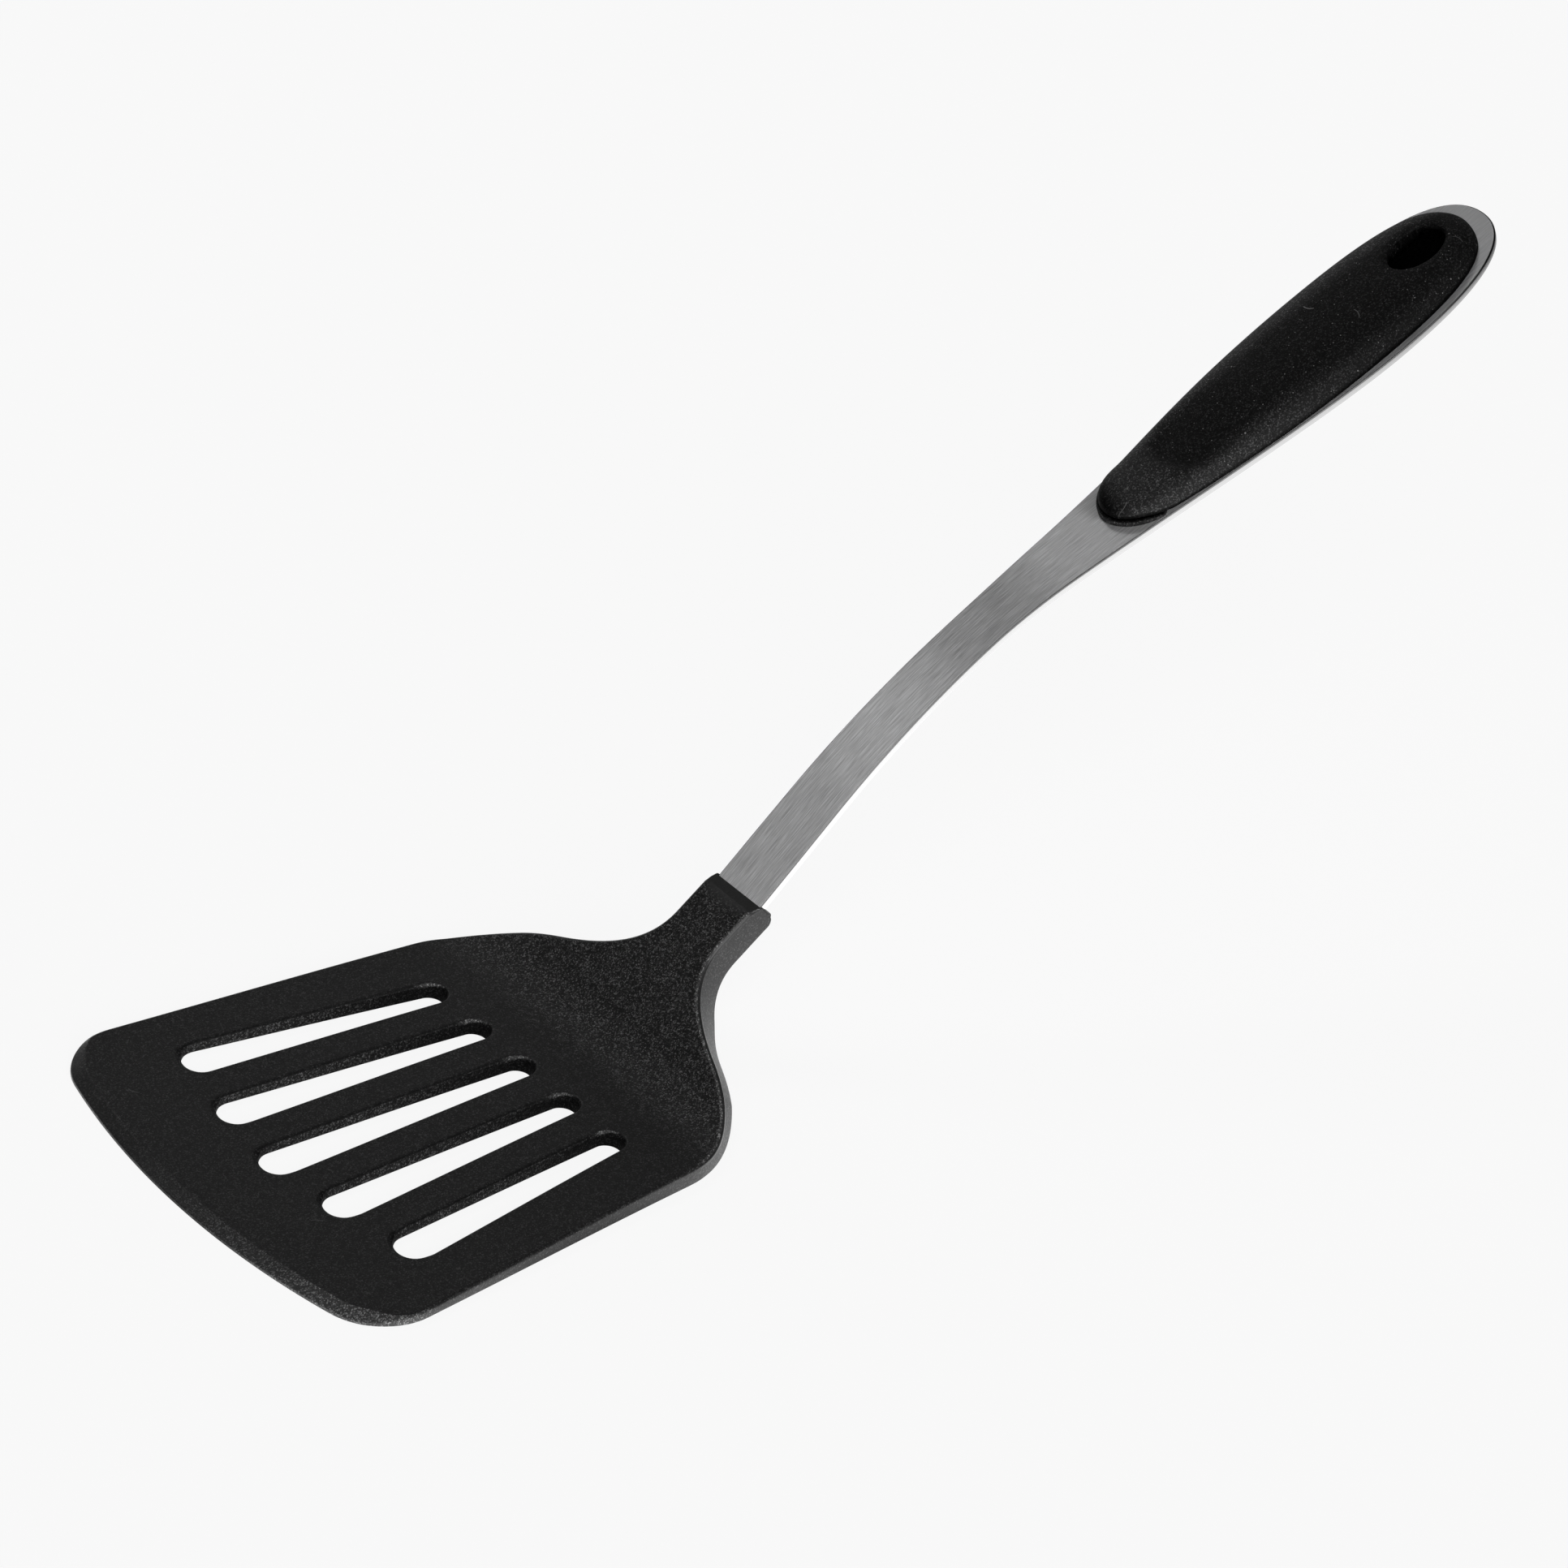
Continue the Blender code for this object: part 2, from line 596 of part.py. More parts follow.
def make_screw(name, s):
    """A countersunk screw turned about its own axis, its head flush with the strip's back."""
    length = STRIP_THICKNESS + SCREW_TIP
    profile = (
        (0, length),
        (SCREW_RADIUS * 0.35, length),
        (SCREW_RADIUS, length - SCREW_POINT),
        (SCREW_RADIUS, SCREW_HEAD_HEIGHT),
        (SCREW_HEAD_RADIUS, 0.15 * MM),
        (SCREW_HEAD_RADIUS, 0),
        (0, 0),
    )
    bm = bmesh.new()
    corners = [bm.verts.new((x, 0, z)) for x, z in profile]
    for pair in zip(corners, corners[1:]):
        bm.edges.new(pair)
    mesh = bpy.data.meshes.new(name)
    bm.to_mesh(mesh)
    bm.free()
    screw = place(bpy.data.objects.new(name, mesh))
    turn = screw.modifiers.new("turn", "SCREW")
    turn.steps = turn.render_steps = 20
    turn.use_merge_vertices = True
    turn.merge_threshold = 0.00001
    apply_modifiers(screw)
    for number, angle in enumerate((0, math.pi / 2), 1):
        bm = bmesh.new()
        size = Matrix.Diagonal((RECESS_LENGTH, RECESS_WIDTH, 2 * RECESS_DEPTH, 1))
        bmesh.ops.create_cube(bm, size=1, matrix=Matrix.Rotation(angle, 4, "Z") @ size)
        groove = object_from(f"{name}_recess_{number}", bm, as_cutter=True)
        boolean(screw, groove)
    apply_modifiers(screw)
    screw.matrix_local = strip_matrix(s, -STRIP_THICKNESS)
    dress(screw, "screw_steel")


# Assembly

make_blade()
make_strip()
make_core()
make_soft_grip()
make_bush()
for end, where in zip(("front", "rear"), SCREW_S):
    make_screw(f"grip_screw_{end}", where)

# The origin lies under the middle of the tool's length.
TOOL.location.x = -on_strip(STRIP_END, 0, STRIP_EDGE - STRIP_THICKNESS).x / 2
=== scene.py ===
"""Slotted turner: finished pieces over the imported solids, with floor, light and camera.

Shapes are worked out in millimetres, with x from the blade's front edge, and become metres in the
row frame when a mesh is made. s runs along the handle strip from the point where it leaves the neck.
"""

import math

import bmesh
import bpy
from mathutils import Matrix, Vector
from mathutils.geometry import delaunay_2d_cdt
from mathutils.kdtree import KDTree


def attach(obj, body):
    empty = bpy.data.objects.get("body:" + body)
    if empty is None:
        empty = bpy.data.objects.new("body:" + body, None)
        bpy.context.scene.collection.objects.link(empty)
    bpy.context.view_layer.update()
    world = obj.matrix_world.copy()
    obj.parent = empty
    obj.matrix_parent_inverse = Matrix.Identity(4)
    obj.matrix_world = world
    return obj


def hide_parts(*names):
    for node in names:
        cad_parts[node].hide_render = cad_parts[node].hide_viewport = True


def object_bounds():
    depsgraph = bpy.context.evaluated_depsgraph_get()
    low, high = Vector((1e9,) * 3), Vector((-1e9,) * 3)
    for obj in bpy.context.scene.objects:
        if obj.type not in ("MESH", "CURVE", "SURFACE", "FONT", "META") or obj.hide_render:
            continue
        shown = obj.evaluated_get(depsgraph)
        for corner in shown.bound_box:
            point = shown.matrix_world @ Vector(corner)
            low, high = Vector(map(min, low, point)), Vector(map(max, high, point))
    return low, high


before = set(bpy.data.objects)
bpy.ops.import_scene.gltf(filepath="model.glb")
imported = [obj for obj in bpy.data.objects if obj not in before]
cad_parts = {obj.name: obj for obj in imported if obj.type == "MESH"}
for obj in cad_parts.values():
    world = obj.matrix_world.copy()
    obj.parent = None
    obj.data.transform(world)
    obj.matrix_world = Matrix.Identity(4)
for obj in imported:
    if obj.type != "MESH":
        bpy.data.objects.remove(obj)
cad_low, cad_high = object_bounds()

MM = 0.001
FRONT_X = cad_low.x / MM
GAP = 0.3
SMOOTH_ANGLE = math.radians(40)

# Blade seen from above
FRONT_RADIUS = 156
FRONT_CORNER_RADIUS = 13
SIDE_HALF_WIDTH_AT_FRONT = 50.05
SIDE_TAPER = 0.107
FRONT_SKEW = 0.75
SIDE_END_X = 84
SHOULDER_X = 102.7
SHOULDER_HALF_WIDTH = 22.6
SHOULDER_SLOPE = math.radians(71)
SHOULDER_ROUND = 10.5
NECK_START_X = 116
NECK_HALF_WIDTH = 6.6
NECK_ROUND = (9, 6.5)
LIP_CORNER = 0.35

# Blade seen from the side
FRONT_THICKNESS = 1.45
BLADE_TAPER = 0.0218
BEND_START_X = 88.8
BEND_RADIUS = 17.5
NECK_ANGLE = math.radians(39.5)
LIP_X = 121.9
SHOULDER_THICKNESS = 4.0
NECK_THICKNESS = 6.4
WALL_DRAFT = 0.09
EDGE_BEVEL = (0.42, 0.36)
SHOULDER_EDGE = (0.55, 0.5)
FRONT_BEVEL = (2.6, 1.1)
LIP_BEVEL = (2.85, 1.6)
LIP_ROUND = 1.8

# Slots: middle one, then the pairs to each side of it
SLOT_FRONT_X = (22.9, 25.2, 28.9)
SLOT_REAR_X = 76.6
SLOT_PITCH_FRONT = 15.95
SLOT_PITCH_REAR = 13.2
SLOT_FRONT_RADIUS = 4.4
SLOT_REAR_RADIUS = 3.15
SLOT_FRONT_SHIFT = 0.3
SLOT_DRAFT = 0.15
SLOT_BEVEL = (0.32, 0.28)

# Handle strip
STRIP_START = (121.85, 22.95)
STRIP_NECK_ANGLE = math.radians(45)
STRIP_STRAIGHT = 26
STRIP_BEND_RADIUS = 190
STRIP_LOW_ANGLE = math.radians(25.4)
STRIP_GRIP_RADIUS = 1900
STRIP_THICKNESS = 1.8
STRIP_BEVEL = (0.26, 0.24)
STRIP_END = 202.6
LIP_S = 4.7
STRIP_MOUTH = 3.4
TANG_START = -11
TANG_HALF_WIDTH = 4.2
STUD_S = (-7.5, -0.5)
STUD_RADIUS = 1.6
STRIP_NECK_HALF_WIDTH = 6.15
STRIP_WAIST = (70, 5.55)
STRIP_LEAF = (168, 13.35)

# Grip: heights are above the strip's top face
GRIP_NOSE = 104.2
GRIP_CHEEK = (113, 7.65)
GRIP_LEAF = (164, 12.15)
GRIP_TAIL = 198.1
GRIP_LIP = 1.6
GRIP_FOOT = 0.12
NOSE_LIFT = (107, 115.5)
GRIP_HEIGHTS = ((104, 3.7), (116, 4.3), (140, 5.7), (170, 5.6), (186, 5.0), (198, 4.2))
GRIP_END_ROUND = 9
GRIP_END_HEIGHT = 0.25
GRIP_POWER = 2.4
THUMB_EDGE_S = 117.2
THUMB_DEPTH = 1.3
SKIN = 1.9
CORE_TOP = 1.6
CORE_OUTSET = 0.6
CORE_RECESS = 0.8
CORE_END_ROUND = 6

# Hanging hole and its lining
HOLE_S = 186.0
HOLE_TOP = (6.7, 4.2)
HOLE_WALL_FOOT = (6.5, 3.85)
HOLE_TOP_HEIGHT = 4.9
BORE = (6.0, 2.1)
BUSH_WALL = 0.9
BUSH_TOP = 2.6
BUSH_FLANGE = 1.4
BUSH_FLANGE_THICKNESS = 1.5
COLLAR = 2.6

# Grip screws
SCREW_S = (136, 163)
SCREW_HEAD_RADIUS = 2.8
SCREW_RADIUS = 1.45
SCREW_HEAD_HEIGHT = 1.35
SCREW_TIP = 2.4


# Curves and profiles

def smooth(low, high, value):
    t = min(max((value - low) / (high - low), 0), 1)
    return t * t * (3 - 2 * t)


def toward(angle):
    return Vector((math.cos(angle), math.sin(angle)))


def bezier(start, start_handle, end_handle, end, steps):
    """Points of one cubic stretch, without its last point."""
    knots = [Vector(p) for p in (start, start_handle, end_handle, end)]
    points = []
    for i in range(steps):
        t = i / steps
        weights = ((1 - t) ** 3, 3 * t * (1 - t) ** 2, 3 * t * t * (1 - t), t**3)
        points.append(sum((k * w for k, w in zip(knots, weights)), Vector((0, 0))))
    return points


def ramp(table, x):
    """A smooth curve through the (x, value) pairs of a table."""
    x = min(max(x, table[0][0]), table[-1][0])
    i = max(k for k in range(len(table) - 1) if table[k][0] <= x)

    def slope(k):
        a, b = table[max(k - 1, 0)], table[min(k + 1, len(table) - 1)]
        return (b[1] - a[1]) / (b[0] - a[0])

    (x0, v0), (x1, v1) = table[i], table[i + 1]
    run = x1 - x0
    t = (x - x0) / run
    rise = v0 * (1 + 2 * t) * (1 - t) ** 2 + v1 * t * t * (3 - 2 * t)
    return rise + run * (slope(i) * t * (1 - t) ** 2 - slope(i + 1) * t * t * (1 - t))


def rounded(corners, steps=4):
    """An open profile with each inner corner rounded; a corner is (offset, depth, trim)."""
    spots = [Vector(c[:2]) for c in corners]
    path = [spots[0]]
    last = len(spots) - 2
    for i in range(1, last + 1):
        corner, trim = spots[i], corners[i][2]
        back, ahead = spots[i - 1] - corner, spots[i + 1] - corner
        a = corner + back.normalized() * min(trim, back.length * (0.9 if i == 1 else 0.45))
        b = corner + ahead.normalized() * min(trim, ahead.length * (0.9 if i == last else 0.45))
        for k in range(steps + 1):
            t = k / steps
            path.append(a * (1 - t) ** 2 + corner * (2 * t * (1 - t)) + b * (t * t))
    path.append(spots[-1])
    return path


def neighbours(points):
    """Each point of a closed outline with the one after it."""
    return list(zip(points, points[1:] + points[:1]))


def refine(points, longest):
    """Adds points to a closed outline where its steps are longer than asked."""
    result = []
    for a, b in neighbours(points):
        count = max(1, math.ceil((b - a).length / longest))
        result += [a.lerp(b, i / count) for i in range(count)]
    return result


def outward(points, hole):
    """Directions that point out of the material at each point of a closed outline."""
    pairs = neighbours(points)
    area = sum(a.x * b.y - b.x * a.y for a, b in pairs)
    sign = math.copysign(1, area) * (-1 if hole else 1)
    steps = [(b - a).normalized() for a, b in pairs]
    result = []
    for before, after in zip(steps[-1:] + steps[:-1], steps):
        along = before + after
        result.append(Vector((along.y, -along.x)).normalized() * sign)
    return result


def both_halves(half):
    """A closed outline from its half with y above 0, whose end points lie on y = 0."""
    return half + [Vector((p.x, -p.y)) for p in half[-2:0:-1]]


def oval(centre, half_length, half_width, count=48):
    """A slot-shaped outline with straight sides and round ends."""
    straight = half_length - half_width
    points = []
    for i in range(count):
        angle = 2 * math.pi * (i + 0.5) / count
        x = half_width * math.cos(angle) + math.copysign(straight, math.cos(angle))
        points.append(Vector((centre + x, half_width * math.sin(angle))))
    return points


def within(spot, outline):
    inside = False
    for a, b in neighbours(outline):
        if (a.y > spot.y) != (b.y > spot.y):
            if spot.x < a.x + (spot.y - a.y) / (b.y - a.y) * (b.x - a.x):
                inside = not inside
    return inside


# Meshes

def in_frame(point):
    return Vector((point.x + FRONT_X, point.y, point.z)) * MM


def make_object(name, data):
    made = bpy.data.objects.new(name, data)
    bpy.context.scene.collection.objects.link(made)
    return made


def object_from(name, bm):
    bmesh.ops.recalc_face_normals(bm, faces=bm.faces)
    mesh = bpy.data.meshes.new(name)
    bm.to_mesh(mesh)
    bm.free()
    return make_object(name, mesh)


def settle(obj):
    """Turns the evaluated shape into the object's own mesh."""
    bpy.context.view_layer.update()
    graph = bpy.context.evaluated_depsgraph_get()
    mesh = bpy.data.meshes.new_from_object(obj.evaluated_get(graph))
    obj.modifiers.clear()
    obj.data = mesh
    return obj


def combine(obj, other, operation="DIFFERENCE"):
    """Cuts or joins another closed shape, which is used up."""
    modifier = obj.modifiers.new("combine", "BOOLEAN")
    modifier.operation = operation
    modifier.object = other
    modifier.solver = "EXACT"
    settle(obj)
    bpy.data.objects.remove(other, do_unlink=True)


def loft(name, rings, closed=False):
    """A closed solid through rings of equal point counts, or a ring-shaped one."""
    bm = bmesh.new()
    rows = [[bm.verts.new(in_frame(point)) for point in ring] for ring in rings]
    count = len(rows[0])
    following = rows[1:] + (rows[:1] if closed else [])
    for row, after in zip(rows, following):
        for i in range(count):
            j = (i + 1) % count
            bm.faces.new((row[i], row[j], after[j], after[i]))
    if not closed:
        bm.faces.new(rows[0])
        bm.faces.new(rows[-1])
    return object_from(name, bm)


def plate(name, loops, place, thickness, spacing, marks):
    """A closed plate with shaped edges: an outer outline and holes, each with its own edge profile.

    place(u, y, depth) bends the plate into its shape. spacing(u) is the distance between the
    points inside its faces. marks are vertex values for the material.
    """
    bm = bmesh.new()
    layers = {key: bm.verts.layers.float.new(key) for key in marks}
    flat = {}

    def add(u, y, depth):
        vert = bm.verts.new(in_frame(place(u, y, depth)))
        flat[vert] = Vector((u, y))
        for key, value in marks.items():
            vert[layers[key]] = value(u, y, depth)
        return vert

    rims = [], []
    for number, (outline, profile) in enumerate(loops):
        columns = []
        for point, out in zip(outline, outward(outline, number > 0)):
            full = thickness(point.x)
            column = []
            for offset, depth in profile(point, out, full):
                spot = point + out * offset
                column.append(add(spot.x, spot.y, depth / full * thickness(spot.x)))
            columns.append(column)
        for a, b in neighbours(columns):
            for i in range(len(a) - 1):
                bm.faces.new((a[i], b[i], b[i + 1], a[i + 1]))
        rims[0].append([column[0] for column in columns])
        rims[1].append([column[-1] for column in columns])

    for rim_loops, depth_at in zip(rims, (lambda u: 0, thickness)):
        verts, owner, edges = [], [], []
        for number, rim in enumerate(rim_loops):
            first = len(verts)
            verts += rim
            owner += [number] * len(rim)
            edges += [(first + i, first + (i + 1) % len(rim)) for i in range(len(rim))]
        tree = KDTree(len(verts))
        for i, vert in enumerate(verts):
            tree.insert((*flat[vert], 0), i)
        tree.balance()
        outlines = [[flat[vert] for vert in rim] for rim in rim_loops]
        u = min(p.x for p in outlines[0])
        while u < max(p.x for p in outlines[0]):
            step = spacing(u)
            reach = max(p.y for p in outlines[0])
            count = math.floor(reach / step)
            for i in range(-count, count + 1):
                spot = Vector((u, i * step))
                if tree.find((*spot, 0))[2] < step * 0.6 or not within(spot, outlines[0]):
                    continue
                if not any(within(spot, hole) for hole in outlines[1:]):
                    verts.append(add(spot.x, spot.y, depth_at(spot.x)))
                    owner.append(-1)
            u += step
        made = delaunay_2d_cdt([flat[vert] for vert in verts], edges, [], 1, 1e-5)
        originals = [entry[0] for entry in made[3]]
        for face in made[2]:
            corners = [originals[i] for i in face]
            held_by = {owner[i] for i in corners}
            if len(held_by) == 1 and min(held_by) > 0:
                continue
            bm.faces.new([verts[i] for i in corners])

    uv = bm.loops.layers.uv.new("along")
    for face in bm.faces:
        for corner in face.loops:
            corner[uv].uv = flat[corner.vert] * 0.01
    return object_from(name, bm)


# Blade

BLADE_ANGLE = math.atan(BLADE_TAPER)
BEND_START_U = BEND_START_X / math.cos(BLADE_ANGLE)
BEND_HUB = (
    BEND_START_X - BEND_RADIUS * math.sin(BLADE_ANGLE),
    FRONT_THICKNESS + BLADE_TAPER * BEND_START_X + BEND_RADIUS * math.cos(BLADE_ANGLE),
)
BEND_END_U = BEND_START_U + BEND_RADIUS * (NECK_ANGLE - BLADE_ANGLE)
BEND_END_X = BEND_HUB[0] + BEND_RADIUS * math.sin(NECK_ANGLE)


def blade_u(x):
    """Length along the blade's top face for a distance x from the front edge."""
    if x <= BEND_START_X:
        return x / math.cos(BLADE_ANGLE)
    if x <= BEND_END_X:
        angle = math.asin((x - BEND_HUB[0]) / BEND_RADIUS)
        return BEND_START_U + BEND_RADIUS * (angle - BLADE_ANGLE)
    return BEND_END_U + (x - BEND_END_X) / math.cos(NECK_ANGLE)


def blade_station(u):
    """Point and slope angle of the blade's top face in the plane of symmetry."""
    if u <= BEND_START_U:
        x = u * math.cos(BLADE_ANGLE)
        return Vector((x, 0, FRONT_THICKNESS + BLADE_TAPER * x)), BLADE_ANGLE
    angle = min(BLADE_ANGLE + (u - BEND_START_U) / BEND_RADIUS, NECK_ANGLE)
    run = max(u - BEND_END_U, 0)
    x = BEND_HUB[0] + BEND_RADIUS * math.sin(angle) + run * math.cos(NECK_ANGLE)
    z = BEND_HUB[1] - BEND_RADIUS * math.cos(angle) + run * math.sin(NECK_ANGLE)
    return Vector((x, 0, z)), angle


def blade_place(u, y, depth):
    point, angle = blade_station(u)
    # Over the lip the top face slopes down and the underside rounds up.
    slope = max(u - LIP_TOP_U, 0)
    drop = LIP_BEVEL[1] * slope / LIP_BEVEL[0] * smooth(-0.3, 0.4, slope)
    turn = min(max(u - LIP_U + LIP_ROUND, 0), LIP_ROUND * 0.98)
    rise = LIP_ROUND - math.sqrt(LIP_ROUND**2 - turn**2)
    full = blade_thickness(u)
    depth = drop + (full - rise - drop) * depth / full
    # The front of the blade stands a little to the right.
    y -= FRONT_SKEW * smooth(80, 8, u)
    return point + Vector((math.sin(angle) * depth, y, -math.cos(angle) * depth))


def blade_thickness(u):
    point, angle = blade_station(u)
    if u <= BEND_START_U:
        return point.z / math.cos(angle)
    start = blade_thickness(BEND_START_U)
    grown = start + (SHOULDER_THICKNESS - start) * smooth(BEND_START_X, SHOULDER_X, point.x)
    return grown + (NECK_THICKNESS - grown) * smooth(SHOULDER_X, SHOULDER_X + 5, point.x)


LIP_TOP_U = blade_u(LIP_X)
LIP_U = LIP_TOP_U + LIP_BEVEL[0]


def side_half_width(x):
    return SIDE_HALF_WIDTH_AT_FRONT - SIDE_TAPER * x


def past_bend(u):
    """0 on the flat, 1 from just behind the start of the bend."""
    return smooth(BEND_START_U - 6, BEND_START_U + 2, u)


def blade_outline():
    side = Vector((1, -SIDE_TAPER)).normalized()
    # The corner circle touches the front arc from inside and the side line.
    low, high = FRONT_CORNER_RADIUS, FRONT_CORNER_RADIUS + 20
    for _ in range(40):
        x = (low + high) / 2
        y = side_half_width(x) - FRONT_CORNER_RADIUS / side.x
        if math.hypot(FRONT_RADIUS - x, y) > FRONT_RADIUS - FRONT_CORNER_RADIUS:
            low = x
        else:
            high = x
    front = math.atan2(y, FRONT_RADIUS - x)
    half = []
    for i in range(40):
        angle = front * i / 40
        half.append(Vector((1 - math.cos(angle), math.sin(angle))) * FRONT_RADIUS)
    turn_end = math.pi / 2 - math.atan(SIDE_TAPER)
    for i in range(21):
        angle = math.pi - front + (turn_end - math.pi + front) * i / 20
        half.append(Vector((x, y)) + toward(angle) * FRONT_CORNER_RADIUS)
    start = Vector((SIDE_END_X, side_half_width(SIDE_END_X)))
    middle = Vector((SHOULDER_X, SHOULDER_HALF_WIDTH))
    steep = toward(-SHOULDER_SLOPE)
    neck = Vector((NECK_START_X, NECK_HALF_WIDTH))
    half += bezier(start, start + side * SHOULDER_ROUND, middle - steep * SHOULDER_ROUND, middle, 36)
    half += bezier(middle, middle + steep * NECK_ROUND[0], neck - Vector((NECK_ROUND[1], 0)), neck, 30)
    half.append(neck)
    half = [Vector((blade_u(p.x), p.y)) for p in half]
    half += [Vector((LIP_U - 3.4 + 0.3 * i, NECK_HALF_WIDTH)) for i in range(10)]
    corner = Vector((LIP_U - LIP_CORNER, NECK_HALF_WIDTH - LIP_CORNER))
    for i in range(9):
        half.append(corner + toward(math.pi / 2 * (1 - i / 8)) * LIP_CORNER)
    half.append(Vector((LIP_U, 0)))
    return refine(both_halves(half), 1.2)


def blade_edge(point, out, full):
    front = smooth(0.15, 0.8, -out.x) * smooth(40, 30, point.x)
    rear = past_bend(point.x)
    lip = smooth(LIP_U - 3, LIP_U - 1.2, point.x)
    size = []
    for plain, at_front, at_rear in zip(EDGE_BEVEL, FRONT_BEVEL, SHOULDER_EDGE):
        grown = plain + front * (at_front - plain) + rear * (at_rear - plain)
        size.append(grown * (1 - 0.6 * lip))
    reach, drop = size
    foot = WALL_DRAFT * (full - drop)
    trim = (0.22 + 0.18 * rear) * (1 - 0.5 * lip)
    return rounded((
        (-reach - 0.35 + 0.25 * lip, 0, 0),
        (-reach, 0, trim),
        (0, drop, trim),
        (0.05, drop + 0.6, 0.1),
        (foot, full, 0.3),
        (foot - 1.1 + 0.8 * lip, full, 0),
    ))


def slot_outline(index):
    """One tapered slot with round ends, at the level of the blade's top face."""
    front = Vector((SLOT_FRONT_X[abs(index)], index * SLOT_PITCH_FRONT + SLOT_FRONT_SHIFT))
    rear = Vector((SLOT_REAR_X, index * SLOT_PITCH_REAR))
    run = rear - front
    heading = math.atan2(run.y, run.x)
    tangent = math.acos((SLOT_FRONT_RADIUS - SLOT_REAR_RADIUS) / run.length)
    points = []
    for centre, radius, first, last in (
        (rear, SLOT_REAR_RADIUS, -tangent, tangent),
        (front, SLOT_FRONT_RADIUS, tangent, 2 * math.pi - tangent),
    ):
        for i in range(25):
            angle = heading + first + (last - first) * i / 24
            points.append(centre + toward(angle) * radius)
    return refine([Vector((blade_u(p.x), p.y)) for p in points], 2)


def slot_edge(point, out, full):
    front = smooth(0.1, 0.8, out.x)
    near = smooth(0.3, 0.9, out.y)
    reach, drop = (size * (1 + 1.9 * front - 0.5 * near) for size in SLOT_BEVEL)
    trim = 0.3 + 0.3 * front - 0.15 * near
    wall = ((drop, trim), (drop + 0.45, 0.05), (drop + 0.8, 0.05), (full, 0.3))
    return rounded((
        (-reach - 0.4, 0, 0),
        (-reach, 0, trim),
        *((SLOT_DRAFT * depth, depth, cut) for depth, cut in wall),
        (SLOT_DRAFT * full - 0.9, full, 0),
    ))


def beside_slots(u, y):
    """Whether a place lies in the part of the blade that holds the slots."""
    return 14 < u < SLOT_REAR_X + 6 and abs(y) < side_half_width(u) - 4


def nearest_slot(u, y):
    """Number of the slot that a place lies next to, and the distance from its middle line."""
    share = (u - SLOT_FRONT_X[1]) / (SLOT_REAR_X - SLOT_FRONT_X[1])
    pitch = SLOT_PITCH_FRONT + (SLOT_PITCH_REAR - SLOT_PITCH_FRONT) * share
    index = max(-2, min(2, round(y / pitch)))
    return index, y - index * pitch


def below_rim(depth):
    return smooth(0.28, 0.44, depth)


def slot_wall(u, y, depth):
    """1 on the walls of the slots, below their rounded rims."""
    return below_rim(depth) if beside_slots(u, y) else 0


def painted_shade(u, y, depth):
    """Painted shade: dark on the slots' rims, front ends and rear walls, and on the front bevel to the
    left.
    """
    above_foot = smooth(0, 0.2, blade_thickness(u) - depth)
    if not beside_slots(u, y):
        bevel = smooth(0.01, 0.05, depth) * smooth(18, 12, u)
        return 0.62 * bevel * smooth(-8, 20, y) * above_foot
    index, _ = nearest_slot(u, y)
    rim = 0.76 * smooth(0.03, 0.1, depth) * smooth(0.44, 0.3, depth)
    front_x = SLOT_FRONT_X[abs(index)]
    front = 0.72 * smooth(0.0, 0.5, depth) * smooth(front_x, front_x - 2, u)
    rear = 0.84 * smooth(42, 74, u) * smooth(0.3, 0.6, depth)
    return max(rim, front, rear) * above_foot


def painted_light(u, y, depth):
    """Painted light: pale on the slots' walls, and painted highlights on their rear ends and, to the
    right, on the front bevel and the ridge.
    """
    if beside_slots(u, y):
        _, offset = nearest_slot(u, y)
        wall = (0.03 + 0.11 * smooth(-5, 30, y)) * smooth(60, 36, u) * below_rim(depth)
        end = smooth(SLOT_REAR_X - 0.8, SLOT_REAR_X + 0.6, u) * smooth(0.4, 1.2, offset)
        reach = 0.4 + 0.6 * smooth(1.6, 3.2, offset)
        return max(wall, end * smooth(0.04, 0.12, depth) * smooth(reach, 0.5 * reach, depth))
    bevel = (0.17 * smooth(8, -20, y) + 0.45 * smooth(-20, -40, y)) * smooth(22, 14, u)
    ridge = smooth(0, -4, y) * past_bend(u) * smooth(0.26, 0.16, depth)
    return max(bevel * smooth(0.01, 0.05, depth), ridge * smooth(0.004, 0.02, depth))


def outer_wall(u, y, depth):
    """1 on the blade's outer wall, below the ridge of its top edge."""
    if beside_slots(u, y):
        return 0
    full = blade_thickness(u)
    return smooth(0.5, 0.9, depth) * smooth(full, full - 0.2, depth)


def blade_spacing(u):
    if u > LIP_TOP_U - 0.8:
        return 0.4
    return 1.1 if BEND_START_U - 3 < u < BEND_END_U + 3 else 2.6


def make_blade():
    loops = [(blade_outline(), blade_edge)]
    loops += [(slot_outline(index), slot_edge) for index in range(-2, 3)]
    marks = {
        "lip": lambda u, y, depth: smooth(LIP_TOP_U - 0.2, LIP_TOP_U + 0.3, u) * smooth(0.9, 0.4, depth),
        "edge": lambda u, y, depth: smooth(0, 0.05, depth) * smooth(1.0, 0.6, depth) * past_bend(u),
        "slot": slot_wall,
        "side": outer_wall,
        # The dark mark is painted shade.
        "dark": painted_shade,
        # The pale mark is painted light and painted highlights.
        "pale": painted_light,
    }
    blade = plate("blade_body", loops, blade_place, blade_thickness, blade_spacing, marks)
    low = -STRIP_THICKNESS - GAP
    socket = bar("socket", TANG_START - GAP, LIP_S + 5, TANG_HALF_WIDTH + GAP, low, GAP)
    for s in STUD_S:
        combine(socket, post("stud", s, (STUD_RADIUS, STUD_RADIUS), low - 1, GAP + 1))
    combine(blade, socket)
    mouth = bar("mouth", STRIP_MOUTH - GAP, LIP_S + 5, STRIP_NECK_HALF_WIDTH + 0.08, low, GAP)
    combine(blade, mouth)
    return blade


# Strip

